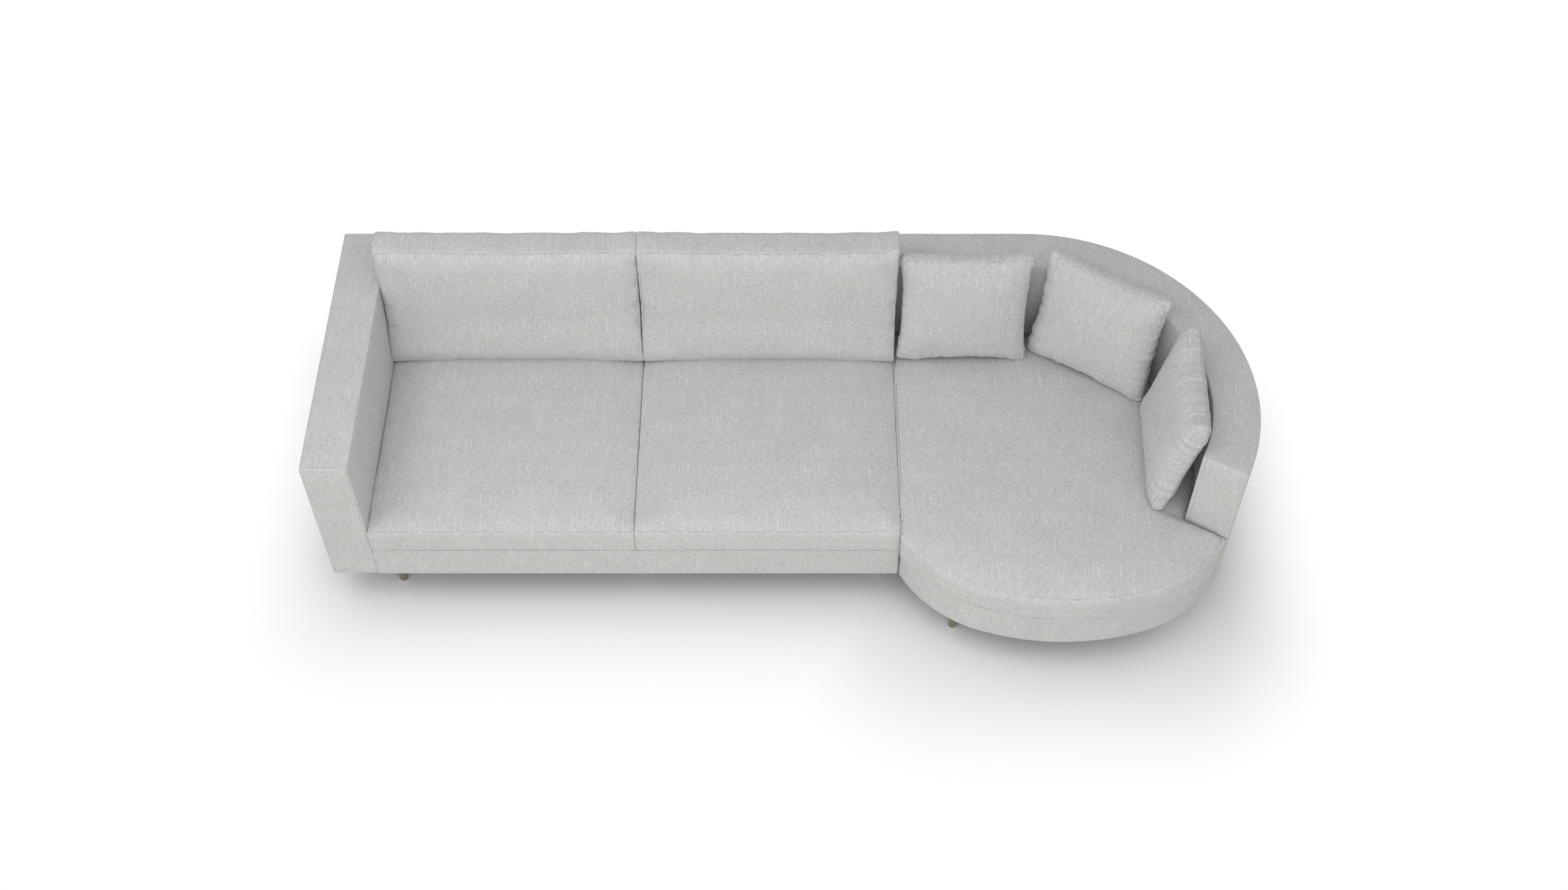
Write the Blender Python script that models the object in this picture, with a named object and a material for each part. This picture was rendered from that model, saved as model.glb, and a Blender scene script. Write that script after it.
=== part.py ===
# Sofa with chaise: a left-arm two-seater coupled to a rounded chaise whose back
# wraps round it and ends in a slanted face. X runs along the sofa from the arm's
# outer side, Y from the front of the seat rail to the back, Z up from the floor.
# Every length is in metres.

import math

import bmesh
import bpy
from mathutils import Matrix, Vector
from mathutils.bvhtree import BVHTree

# Overall sizes
TWO_SEAT_LENGTH = 1.755
BODY_DEPTH = 0.94
BODY_TOP = 0.69
BODY_BOTTOM = 0.15
WALL = 0.14
BASE_TOP = 0.275
FIT = 0.0003
SECTION_GAP = 0.004
OVERRUN = 0.02

# Curved back of the chaise
CURVE_START = 0.3965
CURVE_RADIUS = 0.6567
CURVE_END = math.radians(-27.5)

# Rounded front of the chaise, three arcs that run into each other
NOSE_AXIS = 0.4903
CHAISE_DEPTH = 1.189
NOSE_RADIUS = 0.7954
NOSE_CORNER_RADIUS = 0.4196
NOSE_CORNER_SPREAD = 0.1182

# Upholstered covers
PADDING = 0.010
SOFT_EDGE = 0.008
RAIL_COVER_WIDTH = 0.09
RAIL_COVER_CORNER = 0.009
CLOTH = 0.0015

# Wooden frame
PLANK = 0.030
TOP_PLANK = 0.025
POST = 0.045
RAIL_LIFT = 0.008
RAIL_TOP_DROP = 0.017
FOOT_WIDTH = 0.060
FOOT_HEIGHT = 0.022
ARM_POST_LIFT = 0.005

# Sinuous springs
WIRE = 0.002
TIE_WIRE = 0.0015
TIE_SINK = 0.0022
WAVE_PITCH = 0.115
WAVE_REACH = 0.024
SPRING_INSET = 0.015
CHAISE_SPRING_INSET = 0.020
CHAISE_SPRING_EDGE = 0.165
CLIP_WIDTH = 0.026
CLIP_LENGTH = 0.020
CLIP_HEIGHT = 0.0055
SPRING_EDGE = 0.135
TWO_SEAT_SPRINGS = 4
CHAISE_SPRINGS = 5

# Legs
LEG_RADIUS = 0.014
LEG_CHAMFER = 0.0015
GLIDE_HEIGHT = 0.006
GLIDE_RADIUS = 0.0125
GLIDE_CHAMFER = 0.001
LEG_PLATE = 0.080
LEG_PLATE_THICKNESS = 0.004
LEG_PLATE_CORNER = 0.008
SCREW_HOLE_RADIUS = 0.003
SCREW_HOLE_SPACING = 0.054
LEG_SIDE_INSET = 0.045
LEG_FRONT_INSET = 0.080
LEG_MIDDLE_INSET = 0.110
LEG_REAR_INSET = 0.080
LEG_RIGHT_INSET = 0.060
LEG_NOSE_INSET = 0.070
LEG_NOSE_LEFT = 0.320
LEG_NOSE_RIGHT = 0.350
LEG_CHAISE_REAR = 0.171

# Coupling plates under the joint of the two sections
COUPLING_LENGTH = 0.060
COUPLING_WIDTH = 0.070
COUPLING_THICKNESS = 0.004
COUPLING_CLEARANCE = 0.0005
COUPLING_NECK = 0.018
COUPLING_HEAD = 0.032
COUPLING_TONGUE = 0.028
COUPLING_PLACE = 0.40

# Loose cushions
SEAM_HEIGHT = 0.095
SEAT_CROWN = 0.034
SEAT_SIDE_GAP = 0.002
SEAT_SPLIT_GAP = 0.004
SEAT_CORNER = 0.014
SEAT_PROUD = 0.004
SEAM_DRAW = 0.004
SIDE_DRAW = 0.002
BACK_HEIGHT = 0.437
BACK_BASE_DEPTH = 0.128
BACK_TOP_DEPTH = 0.084
BACK_CROWN = 0.022
BACK_CORNER = 0.016
BACK_SIDE_DRAW = 0.004
PILLOW_WIDTH = 0.415
PILLOW_HEIGHT = 0.405
PILLOW_THICKNESS = 0.115
PILLOW_BOXING = 0.046
PILLOW_CORNER = 0.024
PILLOW_DRAW = 0.010
PILLOW_EASE = 0.018
PILLOW_LEAN = math.radians(10.9)
PILLOW_MIDDLE_TURN = math.radians(57.2)
PILLOW_RIGHT_TURN = math.radians(-3.2)

# Shares of the crown or the thickness at each ring from the seam to the middle
CROWN_RING_SHARES = (0.975, 0.90, 0.74, 0.50, 0.24)
PILLOW_RING_SHARES = (0.94, 0.80, 0.58, 0.30)
PILLOW_SEAM_SHARE = 0.985
CROWN_POWER = 6
PILLOW_POWER = 3
BOXING_BULGE_SHARES = (0.25, 0.75)

# Counts of facets
QUARTER_FACETS = 18
CURVE_TAIL_FACETS = 6
NOSE_FACETS = 8
NOSE_CORNER_FACETS = 9
LEG_FACETS = 16
HOLE_FACETS = 8
PAD_SIDE_FACETS = 6
PAD_CORNER_FACETS = 3
EDGE_FACETS = 2
RAIL_CORNER_FACETS = 3

# Edges sharper than this stay crisp, and bevels have this roundness
SHARP_ANGLE = math.radians(40)
ROUND_PROFILE = 0.5

# Places that follow from the sizes above
CHAISE_LEFT = TWO_SEAT_LENGTH + SECTION_GAP
SEAT_REAR = BODY_DEPTH - WALL
CURVE_X = CHAISE_LEFT + CURVE_START
CURVE_Y = BODY_DEPTH - CURVE_RADIUS
INNER_RADIUS = CURVE_RADIUS - WALL
NOSE_X = CHAISE_LEFT + NOSE_AXIS
NOSE_FRONT = BODY_DEPTH - CHAISE_DEPTH
NOSE_Y = NOSE_FRONT + NOSE_RADIUS
NOSE_CORNER_Y = NOSE_Y - math.sqrt(
    (NOSE_RADIUS - NOSE_CORNER_RADIUS) ** 2 - NOSE_CORNER_SPREAD**2
)
RAIL_BOTTOM = BODY_BOTTOM + RAIL_LIFT
RAIL_TOP = BASE_TOP - RAIL_TOP_DROP
SEAM_Z = BASE_TOP + SEAM_HEIGHT
OVERALL_LENGTH = CURVE_X + CURVE_RADIUS
FRONT_Y = NOSE_FRONT - SEAT_PROUD
ORIGIN = Vector((-OVERALL_LENGTH / 2, -(BODY_DEPTH + FRONT_Y) / 2, 0))


# Materials


def material(name, colour, roughness, metallic=0.0):
    made = bpy.data.materials.new(name)
    made.use_nodes = True
    shader = made.node_tree.nodes["Principled BSDF"]
    shader.inputs["Base Color"].default_value = (*colour, 1)
    shader.inputs["Roughness"].default_value = roughness
    shader.inputs["Metallic"].default_value = metallic
    made.diffuse_color = (*colour, 1)
    return made


def make_materials():
    return {
        "linen": material("warm_grey_linen", (0.62, 0.61, 0.59), 0.9),
        "wood": material("beech_frame", (0.55, 0.38, 0.22), 0.6),
        "spring": material("spring_steel", (0.35, 0.36, 0.38), 0.4, 1.0),
        "nickel": material("polished_nickel", (0.75, 0.72, 0.67), 0.15, 1.0),
        "glide": material("clear_nylon", (0.85, 0.86, 0.84), 0.3),
        "deck": material("grey_deck_cloth", (0.30, 0.30, 0.30), 0.9),
        "dust": material("black_underlining", (0.03, 0.03, 0.03), 0.95),
    }


# Making and joining meshes


def face_out(shape):
    bmesh.ops.recalc_face_normals(shape, faces=shape.faces)
    if shape.calc_volume(signed=True) < 0:
        bmesh.ops.reverse_faces(shape, faces=shape.faces)
    return shape


def add_object(name, shape, finish, smooth=False):
    mesh = bpy.data.meshes.new(name)
    face_out(shape)
    shape.to_mesh(mesh)
    shape.free()
    mesh.materials.append(finish)
    if smooth:
        mesh.shade_smooth()
        mesh.set_sharp_from_angle(angle=SHARP_ANGLE)
    made = bpy.data.objects.new(name, mesh)
    bpy.context.scene.collection.objects.link(made)
    return made


def add_helper(name, shape, finish):
    helper = add_object(name, shape, finish)
    helper.hide_render = True
    helper.display_type = "WIRE"
    return helper


def combine(made, helper, operation):
    step = made.modifiers.new(helper.name, "BOOLEAN")
    step.operation = operation
    step.object = helper


def prism(outline, low, high):
    shape = bmesh.new()
    face = shape.faces.new([shape.verts.new((x, y, low)) for x, y in outline])
    raised = bmesh.ops.extrude_face_region(shape, geom=[face])["geom"]
    corners = [item for item in raised if isinstance(item, bmesh.types.BMVert)]
    bmesh.ops.translate(shape, verts=corners, vec=(0, 0, high - low))
    return face_out(shape)


def rectangle(left, right, front, rear):
    return [(left, front), (right, front), (right, rear), (left, rear)]


def block(left, right, front, rear, low, high):
    return prism(rectangle(left, right, front, rear), low, high)


def soften(shape, radius, segments, chosen):
    edges = [edge for edge in shape.edges if chosen(edge)]
    bmesh.ops.bevel(
        shape,
        geom=edges,
        offset=radius,
        segments=segments,
        profile=ROUND_PROFILE,
        affect="EDGES",
    )


def hard_edge_above(floor):
    def chosen(edge):
        low = all(abs(corner.co.z - floor) < FIT for corner in edge.verts)
        return not low and edge.calc_face_angle(0) > SHARP_ANGLE

    return chosen


def sweep(line_at, profile):
    """A profile of (inset, height) points carried along a line that moves in by the inset."""
    lines = [line_at(inset) for inset, _ in profile]
    rings = [
        [(line[i][0], line[i][1], height) for line, (_, height) in zip(lines, profile)]
        for i in range(len(lines[0]))
    ]
    return loft(rings)


def loft(rings, first_tip=None, last_tip=None):
    shape = bmesh.new()
    rows = [[shape.verts.new(point) for point in ring] for ring in rings]
    count = len(rows[0])
    for lower, upper in zip(rows, rows[1:]):
        for i in range(count):
            j = (i + 1) % count
            shape.faces.new((lower[i], lower[j], upper[j], upper[i]))
    for row, tip in ((rows[0], first_tip), (rows[-1], last_tip)):
        if tip is None:
            shape.faces.new(row)
            continue
        centre = shape.verts.new(tip)
        for i in range(count):
            shape.faces.new((row[i], row[(i + 1) % count], centre))
    return face_out(shape)


def add_to(shape, other):
    mesh = bpy.data.meshes.new("joined")
    other.to_mesh(mesh)
    other.free()
    shape.from_mesh(mesh)
    bpy.data.meshes.remove(mesh)


def tube(points, radius):
    """A square-sided wire through the points, which run mostly level."""
    rings = []
    for i, point in enumerate(points):
        ahead = points[min(i + 1, len(points) - 1)] - points[max(i - 1, 0)]
        side = ahead.cross(Vector((0, 0, 1))).normalized() * radius
        up = side.cross(ahead).normalized() * radius
        rings.append([point + side, point + up, point - side, point - up])
    return loft(rings)


def arc(centre_x, centre_y, radius, start, end, facets):
    turns = [start + (end - start) * i / facets for i in range(facets + 1)]
    return [
        (centre_x + radius * math.cos(turn), centre_y + radius * math.sin(turn))
        for turn in turns
    ]


# Lines in plan, each drawn at any inset


def chaise_wall_line(inset, end_inset, left):
    """The outer side of the curved back, from its straight start to its slanted end."""
    radius = CURVE_RADIUS - inset
    end = CURVE_END + math.asin(end_inset / radius)
    straight = [(left, BODY_DEPTH - inset)]
    quarter = arc(CURVE_X, CURVE_Y, radius, math.pi / 2, 0, QUARTER_FACETS)
    return straight + quarter + arc(CURVE_X, CURVE_Y, radius, 0, end, CURVE_TAIL_FACETS)[1:]


def curved_back_outline(inset):
    left = CHAISE_LEFT + inset
    outer = chaise_wall_line(inset, inset, left)
    inner = chaise_wall_line(WALL - inset, inset, left)
    return outer + inner[::-1]


def nose_end_turn(radius, gap):
    """The turn at which a corner arc meets the plane of the slanted end, gap in front of it."""
    ahead = Vector((math.sin(CURVE_END), -math.cos(CURVE_END)))
    centre = Vector((NOSE_X + NOSE_CORNER_SPREAD - CURVE_X, NOSE_CORNER_Y - CURVE_Y))
    facing = math.atan2(ahead.y, ahead.x)
    return facing + math.acos((gap - centre.dot(ahead)) / radius)


def nose_line(inset, gap=FIT):
    """The rounded front, from the left side of the chaise to the slanted end."""
    left = CHAISE_LEFT + inset
    corner = NOSE_CORNER_RADIUS - inset
    left_x = NOSE_X - NOSE_CORNER_SPREAD
    right_x = NOSE_X + NOSE_CORNER_SPREAD
    join = math.acos(NOSE_CORNER_SPREAD / (NOSE_RADIUS - NOSE_CORNER_RADIUS))
    start = math.pi + math.acos((left_x - left) / corner)
    first = arc(left_x, NOSE_CORNER_Y, corner, start, math.pi + join, NOSE_CORNER_FACETS)
    front = arc(
        NOSE_X, NOSE_Y, NOSE_RADIUS - inset, math.pi + join, 2 * math.pi - join, NOSE_FACETS
    )
    end = nose_end_turn(corner, gap)
    last = arc(right_x, NOSE_CORNER_Y, corner, -join, end, NOSE_CORNER_FACETS)
    return first + front[1:] + last[1:]


def chaise_side_and_nose_line(inset):
    return [(CHAISE_LEFT + inset, SEAT_REAR - FIT)] + nose_line(inset)


def arc_point(radius, turn):
    return (CURVE_X + radius * math.cos(turn), CURVE_Y + radius * math.sin(turn))


def slanted_point(radius, ahead):
    """A point at this radius of the curved back, ahead of its slanted end."""
    return arc_point(radius, CURVE_END - math.asin(ahead / radius))


def chaise_seat_outline(inset, wall_gap=FIT):
    """The seat inside the curved back, which also passes in front of the slanted end."""
    left = CHAISE_LEFT + inset
    wall = chaise_wall_line(WALL + wall_gap, -wall_gap, left)
    return wall + nose_line(inset, gap=wall_gap)[::-1]


def chaise_base_outline():
    """All that the chaise covers on its underside, inside its covers."""
    inset = PADDING + FIT
    outer = chaise_wall_line(inset, inset, CHAISE_LEFT + inset)
    notch = INNER_RADIUS - FIT
    return (
        outer
        + [slanted_point(notch, -inset), slanted_point(notch, FIT)]
        + nose_line(inset)[::-1]
    )


def nose_front(x, inset):
    """How far forward the rounded front reaches at x."""
    offset = abs(x - NOSE_X)
    join_share = NOSE_CORNER_SPREAD / (NOSE_RADIUS - NOSE_CORNER_RADIUS)
    if offset < join_share * (NOSE_RADIUS - inset):
        return NOSE_Y - math.sqrt((NOSE_RADIUS - inset) ** 2 - offset**2)
    corner = NOSE_CORNER_RADIUS - inset
    return NOSE_CORNER_Y - math.sqrt(corner**2 - (offset - NOSE_CORNER_SPREAD) ** 2)


def chaise_rear(x, inset):
    """How far back the seat of the chaise reaches at x."""
    radius = INNER_RADIUS - inset
    return CURVE_Y + math.sqrt(radius**2 - max(x - CURVE_X, 0) ** 2)


# Covers


def cover(name, outline_at, low, high, finish):
    shell = prism(outline_at(0), low, high)
    soften(shell, SOFT_EDGE, EDGE_FACETS, hard_edge_above(low))
    made = add_object(name, shell, finish, smooth=True)
    hollow = prism(outline_at(PADDING), low - OVERRUN, high - PADDING)
    combine(made, add_helper(name + "_hollow", hollow, finish), "DIFFERENCE")
    return made


def trim_below_seat(made, outline, finish):
    """Cuts away the side of a back that would stand inside the seat frame."""
    cut = prism(outline, BODY_BOTTOM - OVERRUN, BASE_TOP)
    combine(made, add_helper(made.name + "_trim", cut, finish), "DIFFERENCE")


def rail_cover_profile():
    return [
        (0, BODY_BOTTOM),
        (0, BASE_TOP),
        (RAIL_COVER_WIDTH, BASE_TOP),
        (RAIL_COVER_WIDTH, BASE_TOP - PADDING),
        (PADDING, BASE_TOP - PADDING),
        (PADDING, BODY_BOTTOM),
    ]


def make_two_seat_covers(finish):
    arm = cover(
        "arm_cover",
        lambda inset: rectangle(inset, WALL - inset, inset, BODY_DEPTH - inset),
        BODY_BOTTOM,
        BODY_TOP,
        finish["linen"],
    )
    left, right = WALL + FIT, TWO_SEAT_LENGTH
    back = cover(
        "back_cover",
        lambda inset: rectangle(
            left + inset, right - inset, SEAT_REAR + inset, BODY_DEPTH - inset
        ),
        BODY_BOTTOM,
        BODY_TOP,
        finish["linen"],
    )
    open_side = rectangle(
        left - OVERRUN, right - PADDING, SEAT_REAR - OVERRUN, BODY_DEPTH - PADDING
    )
    trim_below_seat(back, open_side, finish["linen"])
    rail = sweep(
        lambda inset: [
            (left, inset), (right - inset, inset), (right - inset, SEAT_REAR - FIT)
        ],
        rail_cover_profile(),
    )
    soften(
        rail,
        RAIL_COVER_CORNER,
        RAIL_CORNER_FACETS,
        lambda edge: all(
            math.hypot(corner.co.x - right, corner.co.y) < FIT for corner in edge.verts
        ),
    )
    rail_cover = add_object("seat_rail_cover", rail, finish["linen"], smooth=True)
    return [arm, back, rail_cover]


def make_chaise_covers(finish):
    back = cover(
        "curved_back_cover", curved_back_outline, BODY_BOTTOM, BODY_TOP, finish["linen"]
    )
    left = CHAISE_LEFT + PADDING
    outer = chaise_wall_line(PADDING, PADDING, left)
    inner = chaise_wall_line(WALL + OVERRUN, PADDING, left)
    trim_below_seat(back, outer + inner[::-1], finish["linen"])
    rail_cover = add_object(
        "chaise_rail_cover",
        sweep(chaise_side_and_nose_line, rail_cover_profile()),
        finish["linen"],
        smooth=True,
    )
    return [back, rail_cover]


# Wooden frame


def footed_profile():
    """An upright rail with a wide foot that takes the leg screws."""
    front = PADDING + FIT
    return [
        (front, RAIL_BOTTOM),
        (front, RAIL_TOP),
        (front + PLANK, RAIL_TOP),
        (front + PLANK, RAIL_BOTTOM + FOOT_HEIGHT),
        (front + PLANK + FOOT_WIDTH, RAIL_BOTTOM + FOOT_HEIGHT),
        (front + PLANK + FOOT_WIDTH, RAIL_BOTTOM),
    ]


def plank(name, left, right, front, rear, finish, low=RAIL_BOTTOM, high=RAIL_TOP):
    return add_object(name, block(left, right, front, rear, low, high), finish["wood"])


def make_two_seat_frame(finish):
    left = WALL + 2 * FIT
    right = TWO_SEAT_LENGTH - PADDING - FIT
    front = PADDING + 2 * FIT + PLANK
    foot_end = PADDING + FIT + PLANK + FOOT_WIDTH
    rear = BODY_DEPTH - PADDING - 2 * FIT - PLANK
    middle = (WALL + TWO_SEAT_LENGTH) / 2
    clear_foot = foot_end + FIT
    profile = footed_profile()
    front_rail = add_object(
        "seat_rail_front",
        sweep(lambda inset: [(left, inset), (right, inset)], profile),
        finish["wood"],
    )
    rear_rail = add_object(
        "seat_rail_rear",
        sweep(
            lambda inset: [(right, BODY_DEPTH - inset), (left, BODY_DEPTH - inset)], profile
        ),
        finish["wood"],
    )
    side_low = RAIL_BOTTOM + FOOT_HEIGHT + FIT
    rails = [
        plank("seat_rail_left", left, left + PLANK, front, rear, finish, low=side_low),
        plank("seat_rail_right", right - PLANK, right, front, rear, finish, low=side_low),
        plank(
            "seat_rail_centre",
            middle - PLANK / 2,
            middle + PLANK / 2,
            clear_foot,
            SEAT_REAR - FIT - PLANK - FIT,
            finish,
        ),
        plank(
            "spring_rail",
            left + PLANK + FIT,
            right - PLANK - FIT,
            SEAT_REAR - FIT - PLANK,
            SEAT_REAR - FIT,
            finish,
        ),
    ]
    return [front_rail, rear_rail] + rails


def make_arm_frame(finish):
    inside = PADDING + FIT
    top = BODY_TOP - PADDING - FIT
    left, right = inside, WALL - inside
    front, rear = inside, BODY_DEPTH - inside
    low = BODY_BOTTOM + ARM_POST_LIFT
    under = top - TOP_PLANK
    return [
        plank("arm_top_plank", left, right, front, rear, finish, low=under, high=top),
        plank(
            "arm_post_front", left, right, front, front + POST, finish, low, under - FIT
        ),
        plank("arm_post_rear", left, right, rear - POST, rear, finish, low, under - FIT),
    ]


def make_back_frame(finish):
    inside = PADDING + FIT
    left, right = WALL + FIT + inside, TWO_SEAT_LENGTH - inside
    front, rear = SEAT_REAR + inside, BODY_DEPTH - inside
    top = BODY_TOP - PADDING - FIT
    under = top - TOP_PLANK
    low = RAIL_TOP + FIT
    return [
        plank("back_top_plank", left, right, front, rear, finish, low=under, high=top),
        plank("back_post_left", left, left + POST, front, rear, finish, low, under - FIT),
        plank("back_post_right", right - POST, right, front, rear, finish, low, under - FIT),
    ]


def make_chaise_frame(finish):
    inside = PADDING + FIT
    clear_left = CHAISE_LEFT + inside + PLANK + FIT
    mitre = 2 * FIT
    profile = footed_profile()
    front_rail = add_object(
        "chaise_rail_front", sweep(nose_line, profile), finish["wood"], smooth=True
    )
    outer_rail = add_object(
        "chaise_rail_curved",
        sweep(lambda inset: chaise_wall_line(inset, inside, CHAISE_LEFT + inset), profile),
        finish["wood"],
        smooth=True,
    )
    side_rail = add_object(
        "chaise_rail_left",
        sweep(
            lambda inset: [
                (CHAISE_LEFT + inset, BODY_DEPTH - inset - mitre),
                (CHAISE_LEFT + inset, nose_line(inset)[0][1] + mitre),
            ],
            profile,
        ),
        finish["wood"],
    )
    low = RAIL_BOTTOM + FOOT_HEIGHT + FIT
    spring_rail = add_object(
        "chaise_spring_rail",
        sweep(
            lambda inset: chaise_wall_line(WALL + inset, FOOT_WIDTH, clear_left),
            [(FIT, low), (FIT, RAIL_TOP), (FIT + PLANK, RAIL_TOP), (FIT + PLANK, low)],
        ),
        finish["wood"],
        smooth=True,
    )
    return [front_rail, outer_rail, side_rail, spring_rail]


def make_curved_back_frame(finish):
    inside = PADDING + FIT
    top = BODY_TOP - PADDING - FIT
    under = top - TOP_PLANK
    top_plank = add_object(
        "curved_back_top_plank",
        prism(curved_back_outline(inside), under, top),
        finish["wood"],
        smooth=True,
    )
    left = CHAISE_LEFT + inside
    post_left = plank(
        "curved_back_post_left",
        left,
        left + POST,
        SEAT_REAR + inside,
        BODY_DEPTH - inside,
        finish,
        RAIL_TOP + FIT,
        under - FIT,
    )
    corners = [
        slanted_point(radius, -ahead)
        for radius, ahead in (
            (INNER_RADIUS + inside, inside),
            (CURVE_RADIUS - inside, inside),
            (CURVE_RADIUS - inside, inside + POST),
            (INNER_RADIUS + inside, inside + POST),
        )
    ]
    post_end = add_object(
        "curved_back_post_end",
        prism(corners, RAIL_TOP + FIT, under - FIT),
        finish["wood"],
    )
    return [top_plank, post_left, post_end]


# Springs, deck and underside


def wave_points(x, front, rear):
    """One sinuous spring seen from above, arched up to the deck cloth at its middle."""
    seat = RAIL_TOP + FIT + WIRE + FIT
    crown = BASE_TOP - CLOTH - 2 * FIT - FIT - WIRE
    waves = max(2, round((rear - front) / WAVE_PITCH))
    turn_shares = (
        (0.10, 0.75), (0.25, 1.0), (0.40, 0.75), (0.60, -0.75), (0.75, -1.0), (0.90, -0.75)
    )
    places = [(0.0, 0.0)]
    for wave in range(waves):
        places += [((wave + along) / waves, across) for along, across in turn_shares]
    places.append((1.0, 0.0))
    return [
        Vector(
            (
                x + WAVE_REACH * across,
                front + (rear - front) * along,
                seat + (crown - seat) * math.sin(math.pi * along) ** 2,
            )
        )
        for along, across in places
    ]


def spring_set(name, lines, tie_y, finish):
    """Springs with their end clips and one tie wire across them, welded into one piece."""
    springs, fittings = bmesh.new(), bmesh.new()
    low = RAIL_TOP + FIT
    for x, front, rear in lines:
        add_to(springs, tube(wave_points(x, front, rear), WIRE))
        for y in (front, rear):
            clip = block(
                x - CLIP_WIDTH / 2,
                x + CLIP_WIDTH / 2,
                y - CLIP_LENGTH / 2,
                y + CLIP_LENGTH / 2,
                low,
                low + CLIP_HEIGHT,
            )
            add_to(fittings, clip)
    tie_z = BASE_TOP - CLOTH - 3 * FIT - WIRE - TIE_SINK
    ends = (lines[0][0] - 2 * WAVE_REACH, lines[-1][0] + 2 * WAVE_REACH)
    add_to(fittings, tube([Vector((x, tie_y, tie_z)) for x in ends], TIE_WIRE))
    made = add_object(name, springs, finish["spring"])
    combine(made, add_helper(name + "_fittings", fittings, finish["spring"]), "UNION")
    return made


def spread(first, last, count):
    return [first + (last - first) * i / (count - 1) for i in range(count)]


def make_springs(finish):
    front = PADDING + FIT + SPRING_INSET
    rear = SEAT_REAR - FIT - SPRING_INSET
    middle = (WALL + TWO_SEAT_LENGTH) / 2
    right = TWO_SEAT_LENGTH - PADDING
    made = []
    for name, first, last in (
        ("seat_springs_left", WALL, middle),
        ("seat_springs_right", middle, right),
    ):
        places = spread(first + SPRING_EDGE, last - SPRING_EDGE, TWO_SEAT_SPRINGS)
        lines = [(x, front, rear) for x in places]
        made.append(spring_set(name, lines, (front + rear) / 2, finish))
    first = CHAISE_LEFT + CHAISE_SPRING_EDGE
    last = CURVE_X + INNER_RADIUS - CHAISE_SPRING_EDGE
    nose_inset = PADDING + FIT + CHAISE_SPRING_INSET
    lines = [
        (x, nose_front(x, nose_inset), chaise_rear(x, FIT + CHAISE_SPRING_INSET))
        for x in spread(first, last, CHAISE_SPRINGS)
    ]
    centre = lines[len(lines) // 2]
    made.append(spring_set("chaise_springs", lines, (centre[1] + centre[2]) / 2, finish))
    return made


def make_cloths(finish):
    edge = RAIL_COVER_WIDTH + FIT
    deck_top = BASE_TOP - FIT
    deck = block(
        WALL + 2 * FIT,
        TWO_SEAT_LENGTH - edge,
        edge,
        SEAT_REAR - FIT,
        deck_top - CLOTH,
        deck_top,
    )
    chaise_deck = prism(chaise_seat_outline(edge), deck_top - CLOTH, deck_top)
    under = RAIL_BOTTOM - FIT
    dust = block(
        WALL + 2 * FIT,
        TWO_SEAT_LENGTH - PADDING - FIT,
        PADDING + FIT,
        BODY_DEPTH - PADDING - FIT,
        under - CLOTH,
        under,
    )
    chaise_dust = prism(chaise_base_outline(), under - CLOTH, under)
    return [
        add_object("seat_deck_cloth", deck, finish["deck"]),
        add_object("chaise_deck_cloth", chaise_deck, finish["deck"]),
        add_object("dust_cover", dust, finish["dust"]),
        add_object("chaise_dust_cover", chaise_dust, finish["dust"]),
    ]


# Legs and couplings


def turned(profile, facets):
    """A closed turned piece from (radius, height) points that run up its side."""
    rings = [
        [
            (
                radius * math.cos(2 * math.pi * i / facets),
                radius * math.sin(2 * math.pi * i / facets),
                height,
            )
            for i in range(facets)
        ]
        for radius, height in profile
    ]
    return loft(rings)


def leg_mesh(finish):
    """A straight bar welded to a square plate with four screw holes."""
    top = RAIL_BOTTOM - 2 * FIT - CLOTH
    plate_low = top - LEG_PLATE_THICKNESS
    bar = turned(
        [
            (LEG_RADIUS - LEG_CHAMFER, GLIDE_HEIGHT),
            (LEG_RADIUS, GLIDE_HEIGHT + LEG_CHAMFER),
            (LEG_RADIUS, plate_low + LEG_PLATE_THICKNESS / 2),
        ],
        LEG_FACETS,
    )
    half = LEG_PLATE / 2
    plate = block(-half, half, -half, half, plate_low, top)
    soften(
        plate,
        LEG_PLATE_CORNER,
        EDGE_FACETS,
        lambda edge: abs(edge.verts[0].co.z - edge.verts[1].co.z) > LEG_PLATE_THICKNESS / 2,
    )
    holes = bmesh.new()
    for across in (-1, 1):
        for along in (-1, 1):
            hole = turned(
                [
                    (SCREW_HOLE_RADIUS, plate_low - OVERRUN),
                    (SCREW_HOLE_RADIUS, top + OVERRUN),
                ],
                HOLE_FACETS,
            )
            offset = Vector((across, along, 0)) * SCREW_HOLE_SPACING / 2
            bmesh.ops.translate(hole, verts=hole.verts, vec=offset)
            add_to(holes, hole)
    pattern = add_helper("leg_pattern", plate, finish)
    combine(pattern, add_helper("leg_screw_holes", holes, finish), "DIFFERENCE")
    combine(pattern, add_helper("leg_bar", bar, finish), "UNION")
    graph = bpy.context.evaluated_depsgraph_get()
    mesh = bpy.data.meshes.new_from_object(pattern.evaluated_get(graph))
    mesh.shade_smooth()
    mesh.set_sharp_from_angle(angle=SHARP_ANGLE)
    return mesh


def glide_mesh(finish):
    top = GLIDE_HEIGHT - FIT
    shape = turned(
        [
            (GLIDE_RADIUS - GLIDE_CHAMFER, 0),
            (GLIDE_RADIUS, GLIDE_CHAMFER),
            (GLIDE_RADIUS, top),
        ],
        LEG_FACETS,
    )
    pattern = add_helper("glide_pattern", shape, finish)
    return pattern.data


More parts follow.
